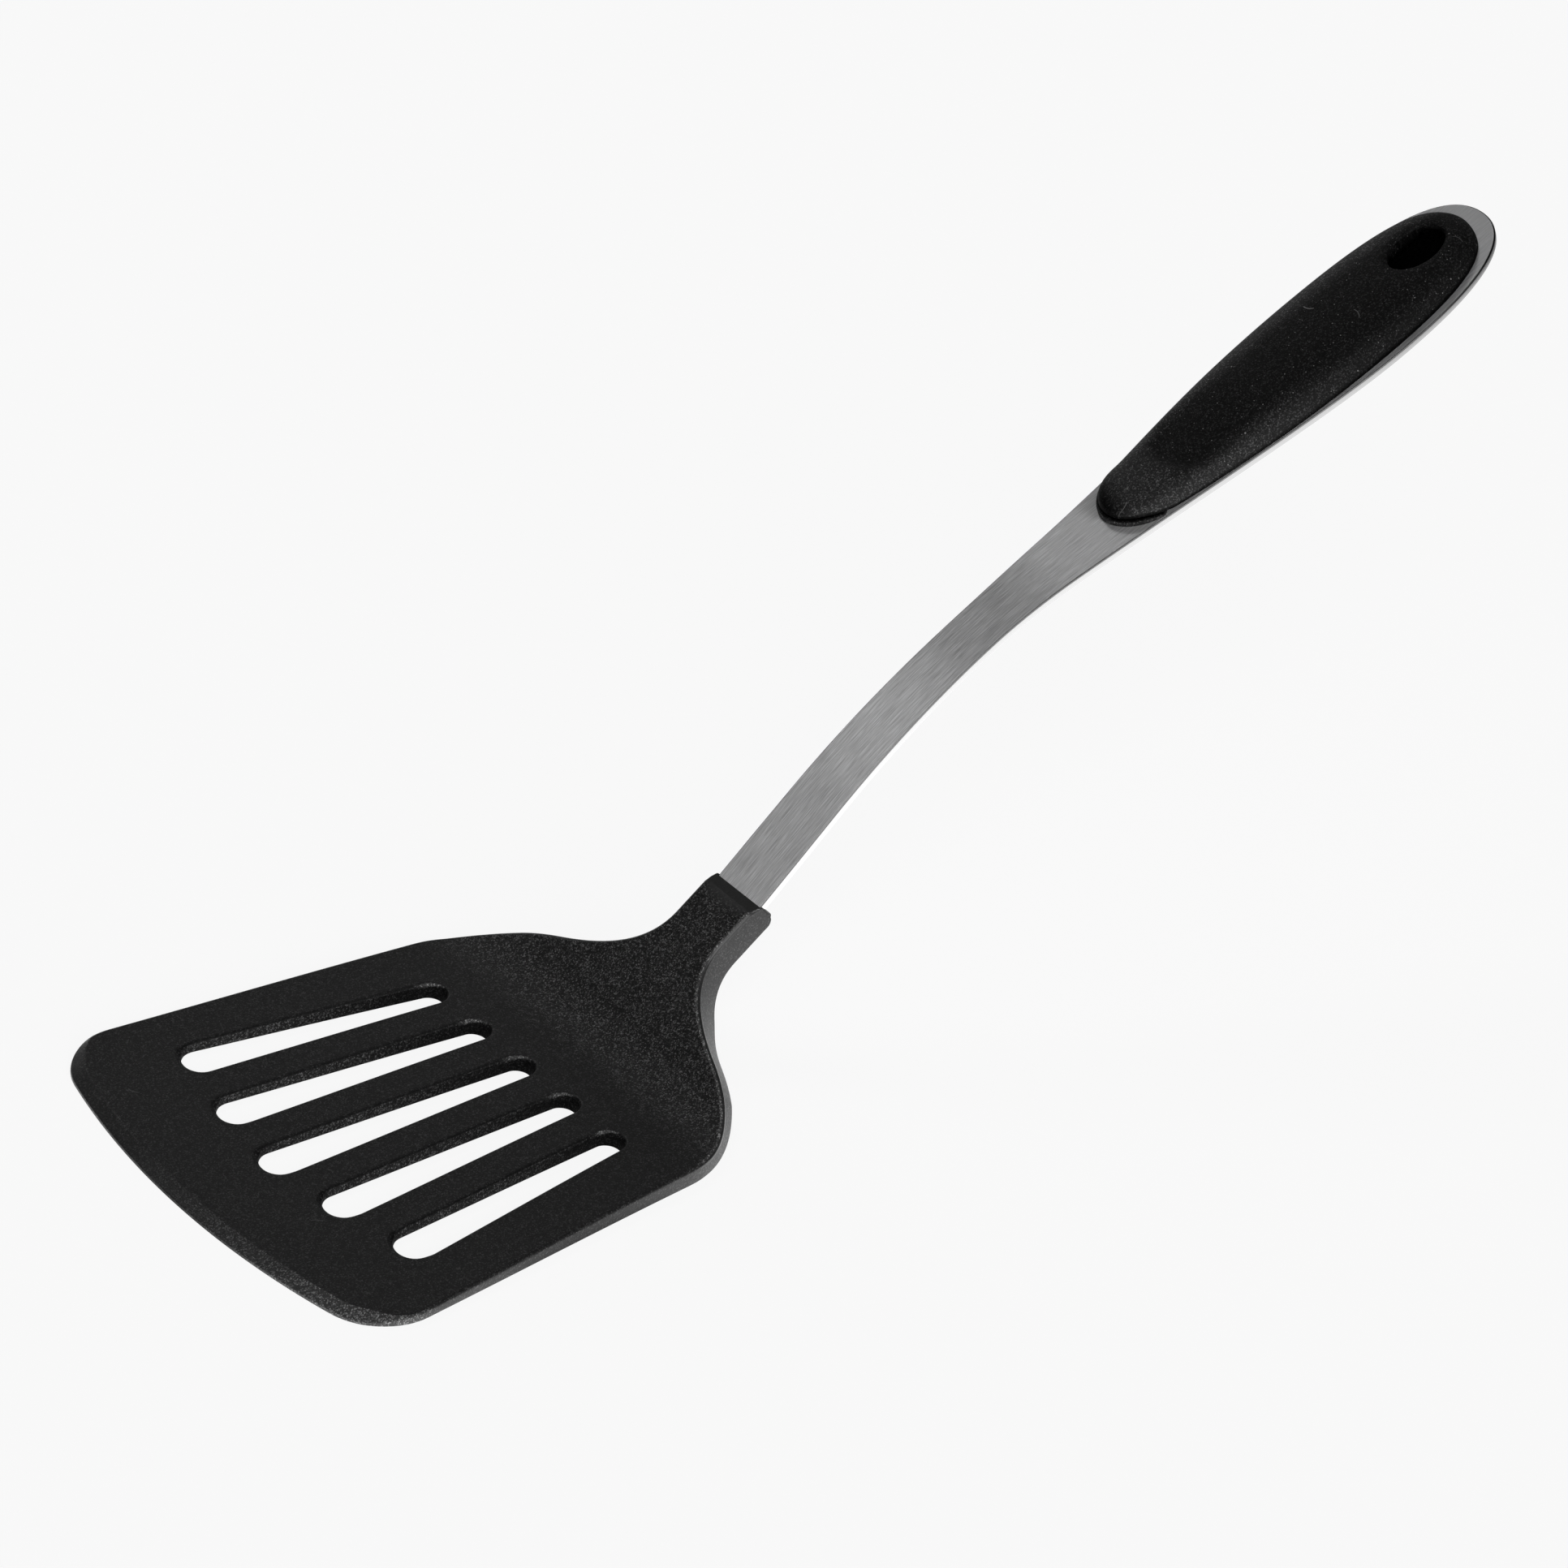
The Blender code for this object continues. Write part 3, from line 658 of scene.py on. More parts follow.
def station(s):
    """Point, tangent and normal of the strip's top face in the plane of symmetry."""
    def heading(angle):
        return Vector((math.cos(angle), 0, math.sin(angle)))

    def upward(angle):
        return Vector((-math.sin(angle), 0, math.cos(angle)))

    arc = (STRIP_NECK_ANGLE - STRIP_LOW_ANGLE) * STRIP_BEND_RADIUS
    start = Vector((STRIP_START[0], 0, STRIP_START[1]))
    hub = start + heading(STRIP_NECK_ANGLE) * STRIP_STRAIGHT
    hub -= upward(STRIP_NECK_ANGLE) * STRIP_BEND_RADIUS
    if s <= STRIP_STRAIGHT:
        angle = STRIP_NECK_ANGLE
        point = start + heading(angle) * s
    elif s <= STRIP_STRAIGHT + arc:
        angle = STRIP_NECK_ANGLE - (s - STRIP_STRAIGHT) / STRIP_BEND_RADIUS
        point = hub + upward(angle) * STRIP_BEND_RADIUS
    else:
        angle = STRIP_LOW_ANGLE + (s - STRIP_STRAIGHT - arc) / STRIP_GRIP_RADIUS
        far_hub = hub + upward(STRIP_LOW_ANGLE) * (STRIP_BEND_RADIUS + STRIP_GRIP_RADIUS)
        point = far_hub - upward(angle) * STRIP_GRIP_RADIUS
    return point, heading(angle), upward(angle)


def on_strip(s, y, height):
    point, _, normal = station(s)
    return point + normal * height + Vector((0, y, 0))


def square_to_strip(s, x, y, height):
    """A point in a flat frame that touches the strip's top face at s."""
    point, tangent, normal = station(s)
    return point + tangent * x + normal * height + Vector((0, y, 0))


def bar(name, s0, s1, half_width, low, high):
    corners = ((-half_width, low), (half_width, low), (half_width, high), (-half_width, high))
    return loft(name, [[on_strip(s, y, h) for y, h in corners] for s in (s0, s1)])


def oval_column(name, s, sizes, closed=False):
    """A solid square to the strip through ovals given as (half length, half width, height)."""
    rings = []
    for *size, height in sizes:
        rings.append([square_to_strip(s, p.x, p.y, height) for p in oval(0, *size)])
    return loft(name, rings, closed)


def post(name, s, size, low, high):
    """A straight oval solid, square to the strip."""
    return oval_column(name, s, [(*size, low), (*size, high)])


def around_bore(extra):
    """Half length and half width of an oval that is larger than the hanging hole's bore."""
    return [size + extra for size in BORE]


def strip_outline():
    half = [Vector((TANG_START, y)) for y in (0, TANG_HALF_WIDTH)]
    half.append(Vector((STRIP_MOUTH, TANG_HALF_WIDTH)))
    start = (STRIP_MOUTH + 0.1, STRIP_NECK_HALF_WIDTH)
    waist, leaf = STRIP_WAIST[1], STRIP_LEAF[1]
    half += bezier(start, (25, start[1]), (50, waist), STRIP_WAIST, 40)
    half += bezier(STRIP_WAIST, (100, waist), (145, leaf), STRIP_LEAF, 60)
    half += bezier(STRIP_LEAF, (185, leaf), (STRIP_END, 11.3), (STRIP_END, 0), 50)
    half.append(Vector((STRIP_END, 0)))
    return refine(both_halves(half), 1.5)


def strip_edge(point, out, full):
    reach, drop = STRIP_BEVEL
    return rounded((
        (-reach - 0.3, 0, 0),
        (-reach, 0, 0.12),
        (0, drop, 0.12),
        (0, full - drop, 0.12),
        (-reach, full, 0.12),
        (-reach - 0.3, full, 0),
    ), 3)


def plain_hole_edge(point, out, full):
    return rounded(((-0.3, 0, 0), (0, 0.08, 0.08), (0, full - 0.08, 0.08), (-0.3, full, 0)), 2)


def countersunk_edge(point, out, full):
    sink = SCREW_HEAD_RADIUS - SCREW_RADIUS
    return rounded((
        (-0.3, 0, 0), (0, 0.08, 0.08), (0, full - sink, 0.05), (-sink, full, 0.08),
        (-sink - 0.3, full, 0),
    ), 2)


def make_strip():
    loops = [(strip_outline(), strip_edge)]
    for s in STUD_S:
        loops.append((oval(s, STUD_RADIUS + GAP, STUD_RADIUS + GAP, 24), plain_hole_edge))
    for s in SCREW_S:
        loops.append((oval(s, SCREW_RADIUS + GAP, SCREW_RADIUS + GAP, 32), countersunk_edge))
    loops.append((oval(HOLE_S, *around_bore(BUSH_WALL + GAP)), plain_hole_edge))
    marks = {
        "wall": lambda u, y, depth: smooth(0, 0.05, depth) * smooth(0, 0.05, STRIP_THICKNESS - depth),
        # rim is the top edge's rounding, where the steel gets a painted dark reflection.
        "rim": lambda u, y, depth: smooth(0, 0.05, depth) * smooth(0.34, 0.22, depth),
    }
    return plate(
        "handle_blank", loops, lambda s, y, depth: on_strip(s, y, -depth),
        lambda s: STRIP_THICKNESS, lambda s: 2.2, marks,
    )


# Grip

def grip_outline(steps):
    """(s, half width) of the soft grip's lip, from the nose to the tail."""
    leaf = GRIP_LEAF[1]
    rows = bezier((GRIP_NOSE, 0), (GRIP_NOSE, 4.2), (108.5, 7.0), GRIP_CHEEK, steps)
    rows += bezier(GRIP_CHEEK, (125, 9.6), (143, leaf), GRIP_LEAF, 2 * steps)
    rows += bezier(GRIP_LEAF, (184.5, leaf), (GRIP_TAIL, 10.3), (GRIP_TAIL, 0), 2 * steps)
    return rows[1:]


def thumb_hollow(s, y):
    """Depth of the shallow hollow behind the nose, with a round front edge."""
    front = smooth(0, 3.6, s - THUMB_EDGE_S - 0.1 * y * y)
    return THUMB_DEPTH * front * smooth(142, 121, s) * smooth(8.5, 4.5, abs(y))


def hole_distance(s, y):
    """Distance outside the hanging hole's edge, below 0 inside it."""
    share = math.hypot((s - HOLE_S) / HOLE_TOP[0], y / HOLE_TOP[1])
    return (share - 1) * HOLE_TOP[1]


def hole_roll(s, y):
    """How far the skin rolls down into the hanging hole."""
    beyond = hole_distance(s, y)
    return 0.5 * math.exp(-max(beyond, -0.4) / 0.45) if beyond < 3 else 0


def lip_height(s):
    """Height of the skin's lower edge, which lifts off the strip round the nose."""
    return GRIP_FOOT + (GRIP_LIP - GRIP_FOOT) * smooth(NOSE_LIFT[1], NOSE_LIFT[0], s)


def dome_rings(inset, foot, drop, end_round, steps, count, skin=False):
    """Rings of the grip's domed section, drawn in by an inset all round."""
    rings = []
    nose, tail = GRIP_NOSE + inset, GRIP_TAIL - inset
    shrink = (tail - nose) / (GRIP_TAIL - GRIP_NOSE)
    for s, half in grip_outline(steps):
        s = nose + (s - GRIP_NOSE) * shrink
        half = max(half - inset * min(1, half / 4), 0.4)
        reach = min(s - nose, tail - s, end_round) / end_round
        swell = (1 - (1 - reach) ** GRIP_POWER) ** (1 / GRIP_POWER)
        if skin:
            foot = lip_height(s)
        rise = ramp(GRIP_HEIGHTS, s) - drop - foot
        rise *= GRIP_END_HEIGHT + (1 - GRIP_END_HEIGHT) * swell
        ring = []
        for i in range(count + 1):
            angle = math.pi * i / count
            c, n = math.cos(angle), math.sin(angle)
            y = half * math.copysign(abs(c) ** (2 / GRIP_POWER), c)
            height = foot + rise * n ** (2 / GRIP_POWER)
            if skin:
                height -= (thumb_hollow(s, y) + hole_roll(s, y)) * smooth(0, 0.5, n)
            ring.append(on_strip(s, y, height))
        rings.append(ring)
    return rings


def make_grip():
    grip = loft("soft_skin", dome_rings(0, 0, 0, GRIP_END_ROUND, 40, 72, skin=True))
    hollow = loft("hollow", dome_rings(SKIN, -0.5, SKIN, CORE_END_ROUND, 12, 16))
    combine(hollow, post("collar", HOLE_S, around_bore(COLLAR), -3, 12))
    combine(grip, hollow)
    combine(grip, post("pocket", HOLE_S, around_bore(BUSH_WALL + GAP), -1, BUSH_TOP + GAP))
    funnel = []
    for height in (-1, HOLE_TOP_HEIGHT + 3):
        t = height / HOLE_TOP_HEIGHT
        length, width = (b + (h - b) * t for b, h in zip(HOLE_WALL_FOOT, HOLE_TOP))
        turns = [2 * math.pi * i / 72 for i in range(72)]
        spots = [(length * math.cos(a), width * math.sin(a)) for a in turns]
        funnel.append([square_to_strip(HOLE_S, x, y, height) for x, y in spots])
    combine(grip, loft("funnel", funnel))
    mark_grip(grip)
    return grip


def strip_length(point):
    """The s of the strip's cross-section that a point lies in."""
    s = HOLE_S
    for _ in range(6):
        origin, tangent, _ = station(s)
        s += (point - origin).dot(tangent)
    return s


def mark_grip(grip):
    """Vertex values for the skin, both painted light: the paler mark is a painted sheen and shaded is
    painted shade.
    """
    painted_sheen = grip.data.attributes.new("painted_sheen", "FLOAT", "POINT")
    shaded = grip.data.attributes.new("shaded", "FLOAT", "POINT")
    widths = [(GRIP_NOSE, 0.4), *grip_outline(8), (GRIP_TAIL, 0.4)]
    for vert, pale, dark in zip(grip.data.vertices, painted_sheen.data, shaded.data):
        point = vert.co / MM - Vector((FRONT_X, 0, 0))
        s = strip_length(point)
        origin, _, normal = station(s)
        height = (point - origin).dot(normal)
        side = point.y / ramp(widths, s)
        # Painted sheen where the light falls: on the right flank toward the nose, on the nose and along
        # the left side, and less in the thumb hollow, which stays in painted shade.
        right = smooth(0.5, 0.9, -side) * (0.8 - 0.8 * smooth(115, 175, s))
        sheen_reach = max(smooth(124, 113, s), right, smooth(0.4, 0.8, side))
        pale.value = sheen_reach * (1 - 0.8 * thumb_hollow(s, point.y) / THUMB_DEPTH)
        # Painted shade inside the hanging hole, along the skin's foot and on the nose's tip.
        inside = smooth(5.0, 3.2, height) if hole_distance(s, point.y) < 0.15 else 0
        foot = 0.85 * smooth(0.9 + 0.6 * smooth(115, 130, s), 0.35, height - lip_height(s))
        tip = 0.9 * smooth(109.5, 104.2, s - 0.35 * point.y)
        dark.value = max(inside, foot, tip)


def make_core():
    half = [Vector(row) for row in grip_outline(30)]
    half = [Vector((GRIP_NOSE, 0)), *half, Vector((GRIP_TAIL, 0))]
    outline = both_halves(half)
    inside = SKIN + GAP
    # The flange shows under the nose and lies inside the skin behind it.
    shown = [smooth(115, 111.5, p.x) for p in outline]
    offsets = [CORE_OUTSET * k - inside * (1 - k) for k in shown]
    outline = [p + out * offset for p, out, offset in zip(outline, outward(outline, False), offsets)]

    def edge(point, out, full):
        inset = -CORE_RECESS
        return rounded((
            (inset - 0.3, 0, 0), (inset, 0, 0.1), (inset, 0.32 * full, 0.1), (-0.08, 0.48 * full, 0.3),
            (0, full, 0.15), (-0.5, full, 0),
        ), 3)

    def top(s):
        return CORE_TOP * max(0.5, lip_height(s) / GRIP_LIP)

    # The flange mark is where a painted reflection makes the flange paler.
    marks = {"flange": lambda s, y, depth: smooth(0.36, 0.5, depth / top(s))}
    core = plate(
        "core_edge", [(outline, edge)], lambda s, y, depth: on_strip(s, y, top(s) - depth),
        lambda s: top(s) - 0.03, lambda s: 3, marks,
    )
    combine(core, loft("body", dome_rings(inside, 0.5, inside, CORE_END_ROUND, 12, 16)), "UNION")
    combine(core, post("collar_room", HOLE_S, around_bore(COLLAR + GAP), -3, 12))
    radius = SCREW_RADIUS + GAP
    for s in SCREW_S:
        combine(core, post("pilot", s, (radius, radius), -1, SCREW_TIP + GAP))
    return core


def make_bush():
    """The lining of the hanging hole, with its flange behind the strip."""
    back = -STRIP_THICKNESS - 0.05
    foot = back - BUSH_FLANGE_THICKNESS
    wide = BUSH_WALL + BUSH_FLANGE
    corners = (
        (0, foot / 2, 0), (0, foot, 0.25), (wide, foot, 0.5), (wide, back, 0.1), (BUSH_WALL, back, 0.1),
        (BUSH_WALL, BUSH_TOP, 0.2), (0, BUSH_TOP, 0.25), (0, foot / 2 + 0.5, 0),
    )
    sizes = [(*around_bore(grow), height) for grow, height in rounded(corners, 3)]
    return oval_column("hole_lining", HOLE_S, sizes, closed=True)


# Screws

def screw_tree(material):
    """Countersunk screws on points, each turned so that it goes into the face it holds."""
    sizes = {
        "Head Radius": SCREW_HEAD_RADIUS - 0.08,
        "Head Height": SCREW_HEAD_HEIGHT,
        "Shank Radius": SCREW_RADIUS,
        "Length": STRIP_THICKNESS + SCREW_TIP,
        "Recess Length": 2.8,
        "Recess Width": 0.7,
        "Recess Depth": 0.8,
    }
    shape = {"Geometry": "Geometry"}
    inputs = {**shape, **dict.fromkeys(sizes, "Float")}
    tree, given, result = node_group("countersunk_screws", inputs, shape, "GeometryNodeTree")
    head = node(tree, "GeometryNodeMeshCone", {
        "Vertices": 40, "Radius Top": given["Shank Radius"], "Radius Bottom": given["Head Radius"],
        "Depth": given["Head Height"],
    })
    shank = node(tree, "GeometryNodeMeshCylinder", {
        "Vertices": 40, "Radius": given["Shank Radius"], "Depth": given["Length"],
    })
    # The shank starts 0.1 mm inside the head's face.
    middle = maths(tree, "MULTIPLY", maths(tree, "ADD", given["Length"], 0.0002), 0.5)
    shank_up = node(tree, "GeometryNodeTransform", {
        "Geometry": shank.outputs["Mesh"],
        "Translation": node(tree, "ShaderNodeCombineXYZ", {"Z": middle}).outputs[0],
    })
    whole = node(tree, "GeometryNodeMeshBoolean", operation="UNION", solver="EXACT")
    for mesh in (head.outputs["Mesh"], shank_up.outputs["Geometry"]):
        tree.links.new(mesh, whole.inputs["Mesh 2"])
    deep = maths(tree, "MULTIPLY", given["Recess Depth"], 2)
    cut = node(tree, "GeometryNodeMeshBoolean", {
        "Mesh 1": whole.outputs["Mesh"],
    }, operation="DIFFERENCE", solver="EXACT")
    for long, across in (("Recess Length", "Recess Width"), ("Recess Width", "Recess Length")):
        size = node(tree, "ShaderNodeCombineXYZ", {"X": given[long], "Y": given[across], "Z": deep})
        groove = node(tree, "GeometryNodeMeshCube", {"Size": size.outputs[0]})
        tree.links.new(groove.outputs["Mesh"], cut.inputs["Mesh 2"])
    named = node(tree, "GeometryNodeInputNamedAttribute", {"Name": "into_face"}, data_type="FLOAT_VECTOR")
    into = named.outputs["Attribute"]
    turn = node(tree, "FunctionNodeAlignRotationToVector", {"Vector": into}, axis="Z")
    placed = node(tree, "GeometryNodeInstanceOnPoints", {
        "Points": given["Geometry"], "Instance": cut.outputs["Mesh"],
        "Rotation": turn.outputs["Rotation"],
    })
    real = node(tree, "GeometryNodeRealizeInstances", {"Geometry": placed.outputs["Instances"]})
    painted = node(tree, "GeometryNodeSetMaterial", {
        "Geometry": real.outputs["Geometry"], "Material": material,
    })
    fill(tree, result, {"Geometry": painted.outputs["Geometry"]})
    return tree, sizes


def make_screws(material):
    mesh = bpy.data.meshes.new("grip_screws")
    spots = [in_frame(on_strip(s, 0, -STRIP_THICKNESS)) for s in SCREW_S]
    mesh.from_pydata(spots, [], [])
    into = mesh.attributes.new("into_face", "FLOAT_VECTOR", "POINT")
    for entry, s in zip(into.data, SCREW_S):
        entry.vector = station(s)[2]
    screws = make_object("grip_screws", mesh)
    tree, sizes = screw_tree(material)
    modifier = screws.modifiers.new("screws", "NODES")
    modifier.node_group = tree
    for item in tree.interface.items_tree:
        if item.in_out == "INPUT" and item.name in sizes:
            modifier[item.identifier] = sizes[item.name] * MM
    return settle(screws)


# Materials

def fill(tree, made, inputs):
    """Sets a node's inputs to values, or links them to sockets."""
    for key, value in inputs.items():
        if isinstance(value, bpy.types.NodeSocket):
            tree.links.new(value, made.inputs[key])
        else:
            made.inputs[key].default_value = value


def node(tree, kind, inputs=None, **settings):
    made = tree.nodes.new(kind)
    for key, value in settings.items():
        setattr(made, key, value)
    fill(tree, made, inputs or {})
    return made


def maths(tree, operation, first, second):
    return node(tree, "ShaderNodeMath", {0: first, 1: second}, operation=operation).outputs[0]


def vector_maths(tree, operation, first, second=(0.0, 0.0, 0.0)):
    return node(tree, "ShaderNodeVectorMath", {0: first, 1: second}, operation=operation).outputs


def spread(tree, value, low, high, start=0.0, end=1.0, **settings):
    """Turns values from start to end into values from low to high."""
    return node(tree, "ShaderNodeMapRange", {
        "Value": value, "From Min": start, "From Max": end, "To Min": low, "To Max": high,
    }, **settings).outputs[0]


def value_mix(tree, factor, a, b):
    return node(tree, "ShaderNodeMix", {0: factor, 2: a, 3: b}).outputs[0]


def colour_mix(tree, factor, *colours):
    """A mix of two colours, each a socket, an (r, g, b) value or one grey level."""
    mix = node(tree, "ShaderNodeMix", {0: factor}, data_type="RGBA")
    for key, colour in zip((6, 7), colours):
        if isinstance(colour, float):
            colour = (colour, colour, colour)
        fill(tree, mix, {key: (*colour, 1) if isinstance(colour, tuple) else colour})
    return mix.outputs[2]


def mark(tree, name):
    return node(tree, "ShaderNodeAttribute", attribute_name=name).outputs["Fac"]


def object_place(tree):
    return node(tree, "ShaderNodeTexCoord").outputs["Object"]


def along_axis(tree, place):
    return node(tree, "ShaderNodeSeparateXYZ", {0: place}).outputs["X"]


def node_group(name, inputs, outputs, kind="ShaderNodeTree"):
    """An empty group, the sockets that it is given, and its output node."""
    tree = bpy.data.node_groups.new(name, kind)
    for sockets, in_out in ((inputs, "INPUT"), (outputs, "OUTPUT")):
        for label, value in sockets.items():
            tree.interface.new_socket(label, in_out=in_out, socket_type="NodeSocket" + value)
    return tree, tree.nodes.new("NodeGroupInput").outputs, tree.nodes.new("NodeGroupOutput")


def random_cells(tree, place, scale, **settings):
    return node(tree, "ShaderNodeTexVoronoi", {"Vector": place, "Scale": scale}, **settings).outputs


def use(tree, group, inputs):
    return node(tree, "ShaderNodeGroup", inputs, node_tree=group).outputs


def grain_effect():
    """The fine matt texture of a moulded or rubbery surface."""
    tree, given, result = node_group(
        "moulded_grain",
        {"Vector": "Vector", "Scale": "Float", "Height": "Float"},
        {"Grain": "Float", "Normal": "Vector"},
    )
    cells = random_cells(tree, given["Vector"], given["Scale"])
    bump = node(tree, "ShaderNodeBump", {
        "Strength": 1.0, "Distance": given["Height"], "Height": cells["Distance"],
    })
    tone = node(tree, "ShaderNodeSeparateColor", {"Color": cells["Color"]}).outputs["Red"]
    fill(tree, result, {
        "Grain": maths(tree, "POWER", tone, 5.0),
        "Normal": bump.outputs["Normal"],
    })
    return tree


def dust_effect():
    """Small pale specks and a few short curved fibres."""
    tree, given, result = node_group(
        "dust",
        {"Vector": "Vector", "Amount": "Float", "Fibres": "Float"},
        {"Dust": "Float"},
    )
    place = given["Vector"]

    def times(first, second):
        return maths(tree, "MULTIPLY", first, second)

    def chosen(cells, share):
        """A strength for the cells that are picked at random, and nothing for the others."""
        pick = node(tree, "ShaderNodeSeparateColor", {"Color": cells["Color"]}).outputs
        return times(maths(tree, "LESS_THAN", pick["Red"], share), pick["Green"]), pick["Blue"]

    total = 0.0
    for scale, size in ((1500.0, 0.2), (520.0, 0.11)):
        cells = random_cells(tree, place, scale)
        near = spread(tree, cells["Distance"], 1.0, 0.0, size * 0.5, size)
        specks = times(near, chosen(cells, given["Amount"])[0])
        total = maths(tree, "MAXIMUM", total, specks)

    cells = random_cells(tree, place, 170.0, voronoi_dimensions="2D")
    strength, turn = chosen(cells, given["Fibres"])
    local = vector_maths(tree, "SUBTRACT", place, cells["Position"])[0]
    turned = node(tree, "ShaderNodeVectorRotate", {
        "Vector": local, "Angle": times(turn, 6.28),
    }, rotation_type="Z_AXIS")
    axes = node(tree, "ShaderNodeSeparateXYZ", {0: turned.outputs[0]}).outputs
    bow = times(times(axes["X"], axes["X"]), 260.0)
    across = maths(tree, "ABSOLUTE", maths(tree, "SUBTRACT", axes["Y"], bow), 0.0)
    thin = spread(tree, across, 1.0, 0.0, 0.00004, 0.00011)
    short = maths(tree, "LESS_THAN", maths(tree, "ABSOLUTE", axes["X"], 0.0), 0.0011)
    fibre = times(times(thin, short), strength)
    fill(tree, result, {"Dust": maths(tree, "MAXIMUM", total, fibre)})
    return tree


def brushed_effect():
    """Fine lines along the first direction of the coordinates."""
    tree, given, result = node_group(
        "brushed_lines", {"Vector": "Vector"}, {"Lines": "Float", "Normal": "Vector"},
    )
    stretch = vector_maths(tree, "MULTIPLY", given["Vector"], (16.0, 480.0, 1.0))[0]
    lines = node(tree, "ShaderNodeTexNoise", {
        "Vector": stretch, "Scale": 1.0, "Detail": 3.0, "Roughness": 0.7,
    }).outputs[0]
    bump = node(tree, "ShaderNodeBump", {"Strength": 0.3, "Distance": 0.00004, "Height": lines})
    fill(tree, result, {
        "Lines": spread(tree, lines, 0.0, 1.0, 0.36, 0.66),
        "Normal": bump.outputs["Normal"],
    })
    return tree


GRAIN = grain_effect()
DUST = dust_effect()
BRUSHED = brushed_effect()
GRAIN_SCALE = 4600.0


def moulded(tree, place, height):
    grain = use(tree, GRAIN, {"Vector": place, "Scale": GRAIN_SCALE, "Height": height})
    return grain["Grain"], grain["Normal"]


def blank(name):
    material = bpy.data.materials.new(name)
    material.use_nodes = True
    tree = material.node_tree
    return material, tree, tree.nodes["Principled BSDF"]


def nylon_finish():
    """Black moulding: calm on the flat, coarser beyond the bend, polished along the ridge, with painted
    shade where the dark mark is and painted light where the pale mark is.
    """
    material, tree, shader = blank("nylon")
    place = object_place(tree)
    bend = BEND_START_X + FRONT_X
    calm = spread(tree, along_axis(tree, place), 1.0, 0.0, (bend - 4) * MM, (bend + 6) * MM)
    lip, edge, side, slot, pale = (mark(tree, key) for key in ("lip", "edge", "side", "slot", "pale"))
    textured = maths(tree, "MAXIMUM", slot, pale)
    amount = value_mix(tree, side, spread(tree, calm, 1.0, 0.5), 0.35)
    amount = value_mix(tree, maths(tree, "MAXIMUM", lip, edge), amount, 0.1)
    amount = value_mix(tree, textured, amount, 1.0)
    grain, normal = moulded(tree, place, maths(tree, "MULTIPLY", amount, 0.00006))
    dust = use(tree, DUST, {"Vector": place, "Amount": 0.03, "Fibres": 0.02})["Dust"]
    tone = value_mix(tree, amount, 0.17, grain)
    colour = colour_mix(tree, tone, 0.0003, (0.16, 0.16, 0.161))
    colour = colour_mix(tree, dust, colour, 0.15)
    faint = value_mix(tree, side, spread(tree, calm, 0.0, 0.46), 0.36)
    faint = value_mix(tree, lip, faint, 0.6)
    faint = value_mix(tree, textured, faint, 0.0)
    # The dark mark's painted shade and the darkening by faint take the colour toward black and lower the
    # specular.
    dark = maths(tree, "MAXIMUM", faint, mark(tree, "dark"))
    colour = colour_mix(tree, maths(tree, "POWER", dark, 1.4), colour, 0.0)
    # Where the pale mark is, the colour is a painted highlight that glints with the grain.
    bright = colour_mix(tree, grain, 0.05, 0.4)
    rough = spread(tree, grain, 0.48, 0.38)
    fill(tree, shader, {
        "Base Color": colour_mix(tree, pale, colour, bright),
        "Roughness": value_mix(tree, edge, rough, 0.16),
        "Specular IOR Level": value_mix(tree, dark, spread(tree, amount, 0.52, 0.32), 0.1),
        "Normal": normal,
    })
    return material


def rubber_finish():
    """Soft black skin with grain, dust and lint, with a painted sheen, paler and glossier, at the nose
    and along the sides, and painted shade, black and nearly without specular, where the shaded mark is.
    """
    material, tree, shader = blank("soft_rubber")
    place = object_place(tree)
    painted_sheen, shaded = mark(tree, "painted_sheen"), mark(tree, "shaded")
    grain, normal = moulded(tree, place, 0.00004)
    dust = use(tree, DUST, {"Vector": place, "Amount": 0.3, "Fibres": 0.3})["Dust"]
    calm = colour_mix(tree, grain, 0.0015, (0.034, 0.034, 0.0345))
    pale = colour_mix(tree, grain, 0.008, (0.12, 0.12, 0.121))
    colour = colour_mix(tree, painted_sheen, calm, pale)
    colour = colour_mix(tree, dust, colour, 0.3)
    fill(tree, shader, {
        "Base Color": colour_mix(tree, shaded, colour, 0.0),
        "Roughness": spread(tree, grain, 0.58, 0.48),
        "Specular IOR Level": value_mix(tree, shaded, spread(tree, painted_sheen, 0.14, 0.3), 0.02),
        "Normal": normal,
    })
    return material


def core_finish():
    """Plain black moulding, near black and without specular so that the recess under the skin's lip and
    the hanging hole show as painted shade; the flange under the grip's nose is painted paler and glossier
    as a painted reflection.
    """
    material, tree, shader = blank("core_plastic")
    flange = mark(tree, "flange")
    grain, normal = moulded(tree, object_place(tree), 0.00003)
    colour = colour_mix(tree, grain, 0.0005, 0.003)
    pale = colour_mix(tree, grain, 0.002, 0.12)
    fill(tree, shader, {
        "Base Color": colour_mix(tree, flange, colour, pale),
        "Roughness": spread(tree, grain, 0.6, 0.5),
        "Specular IOR Level": spread(tree, flange, 0.0, 0.35),
        "Normal": normal,
    })
    return material


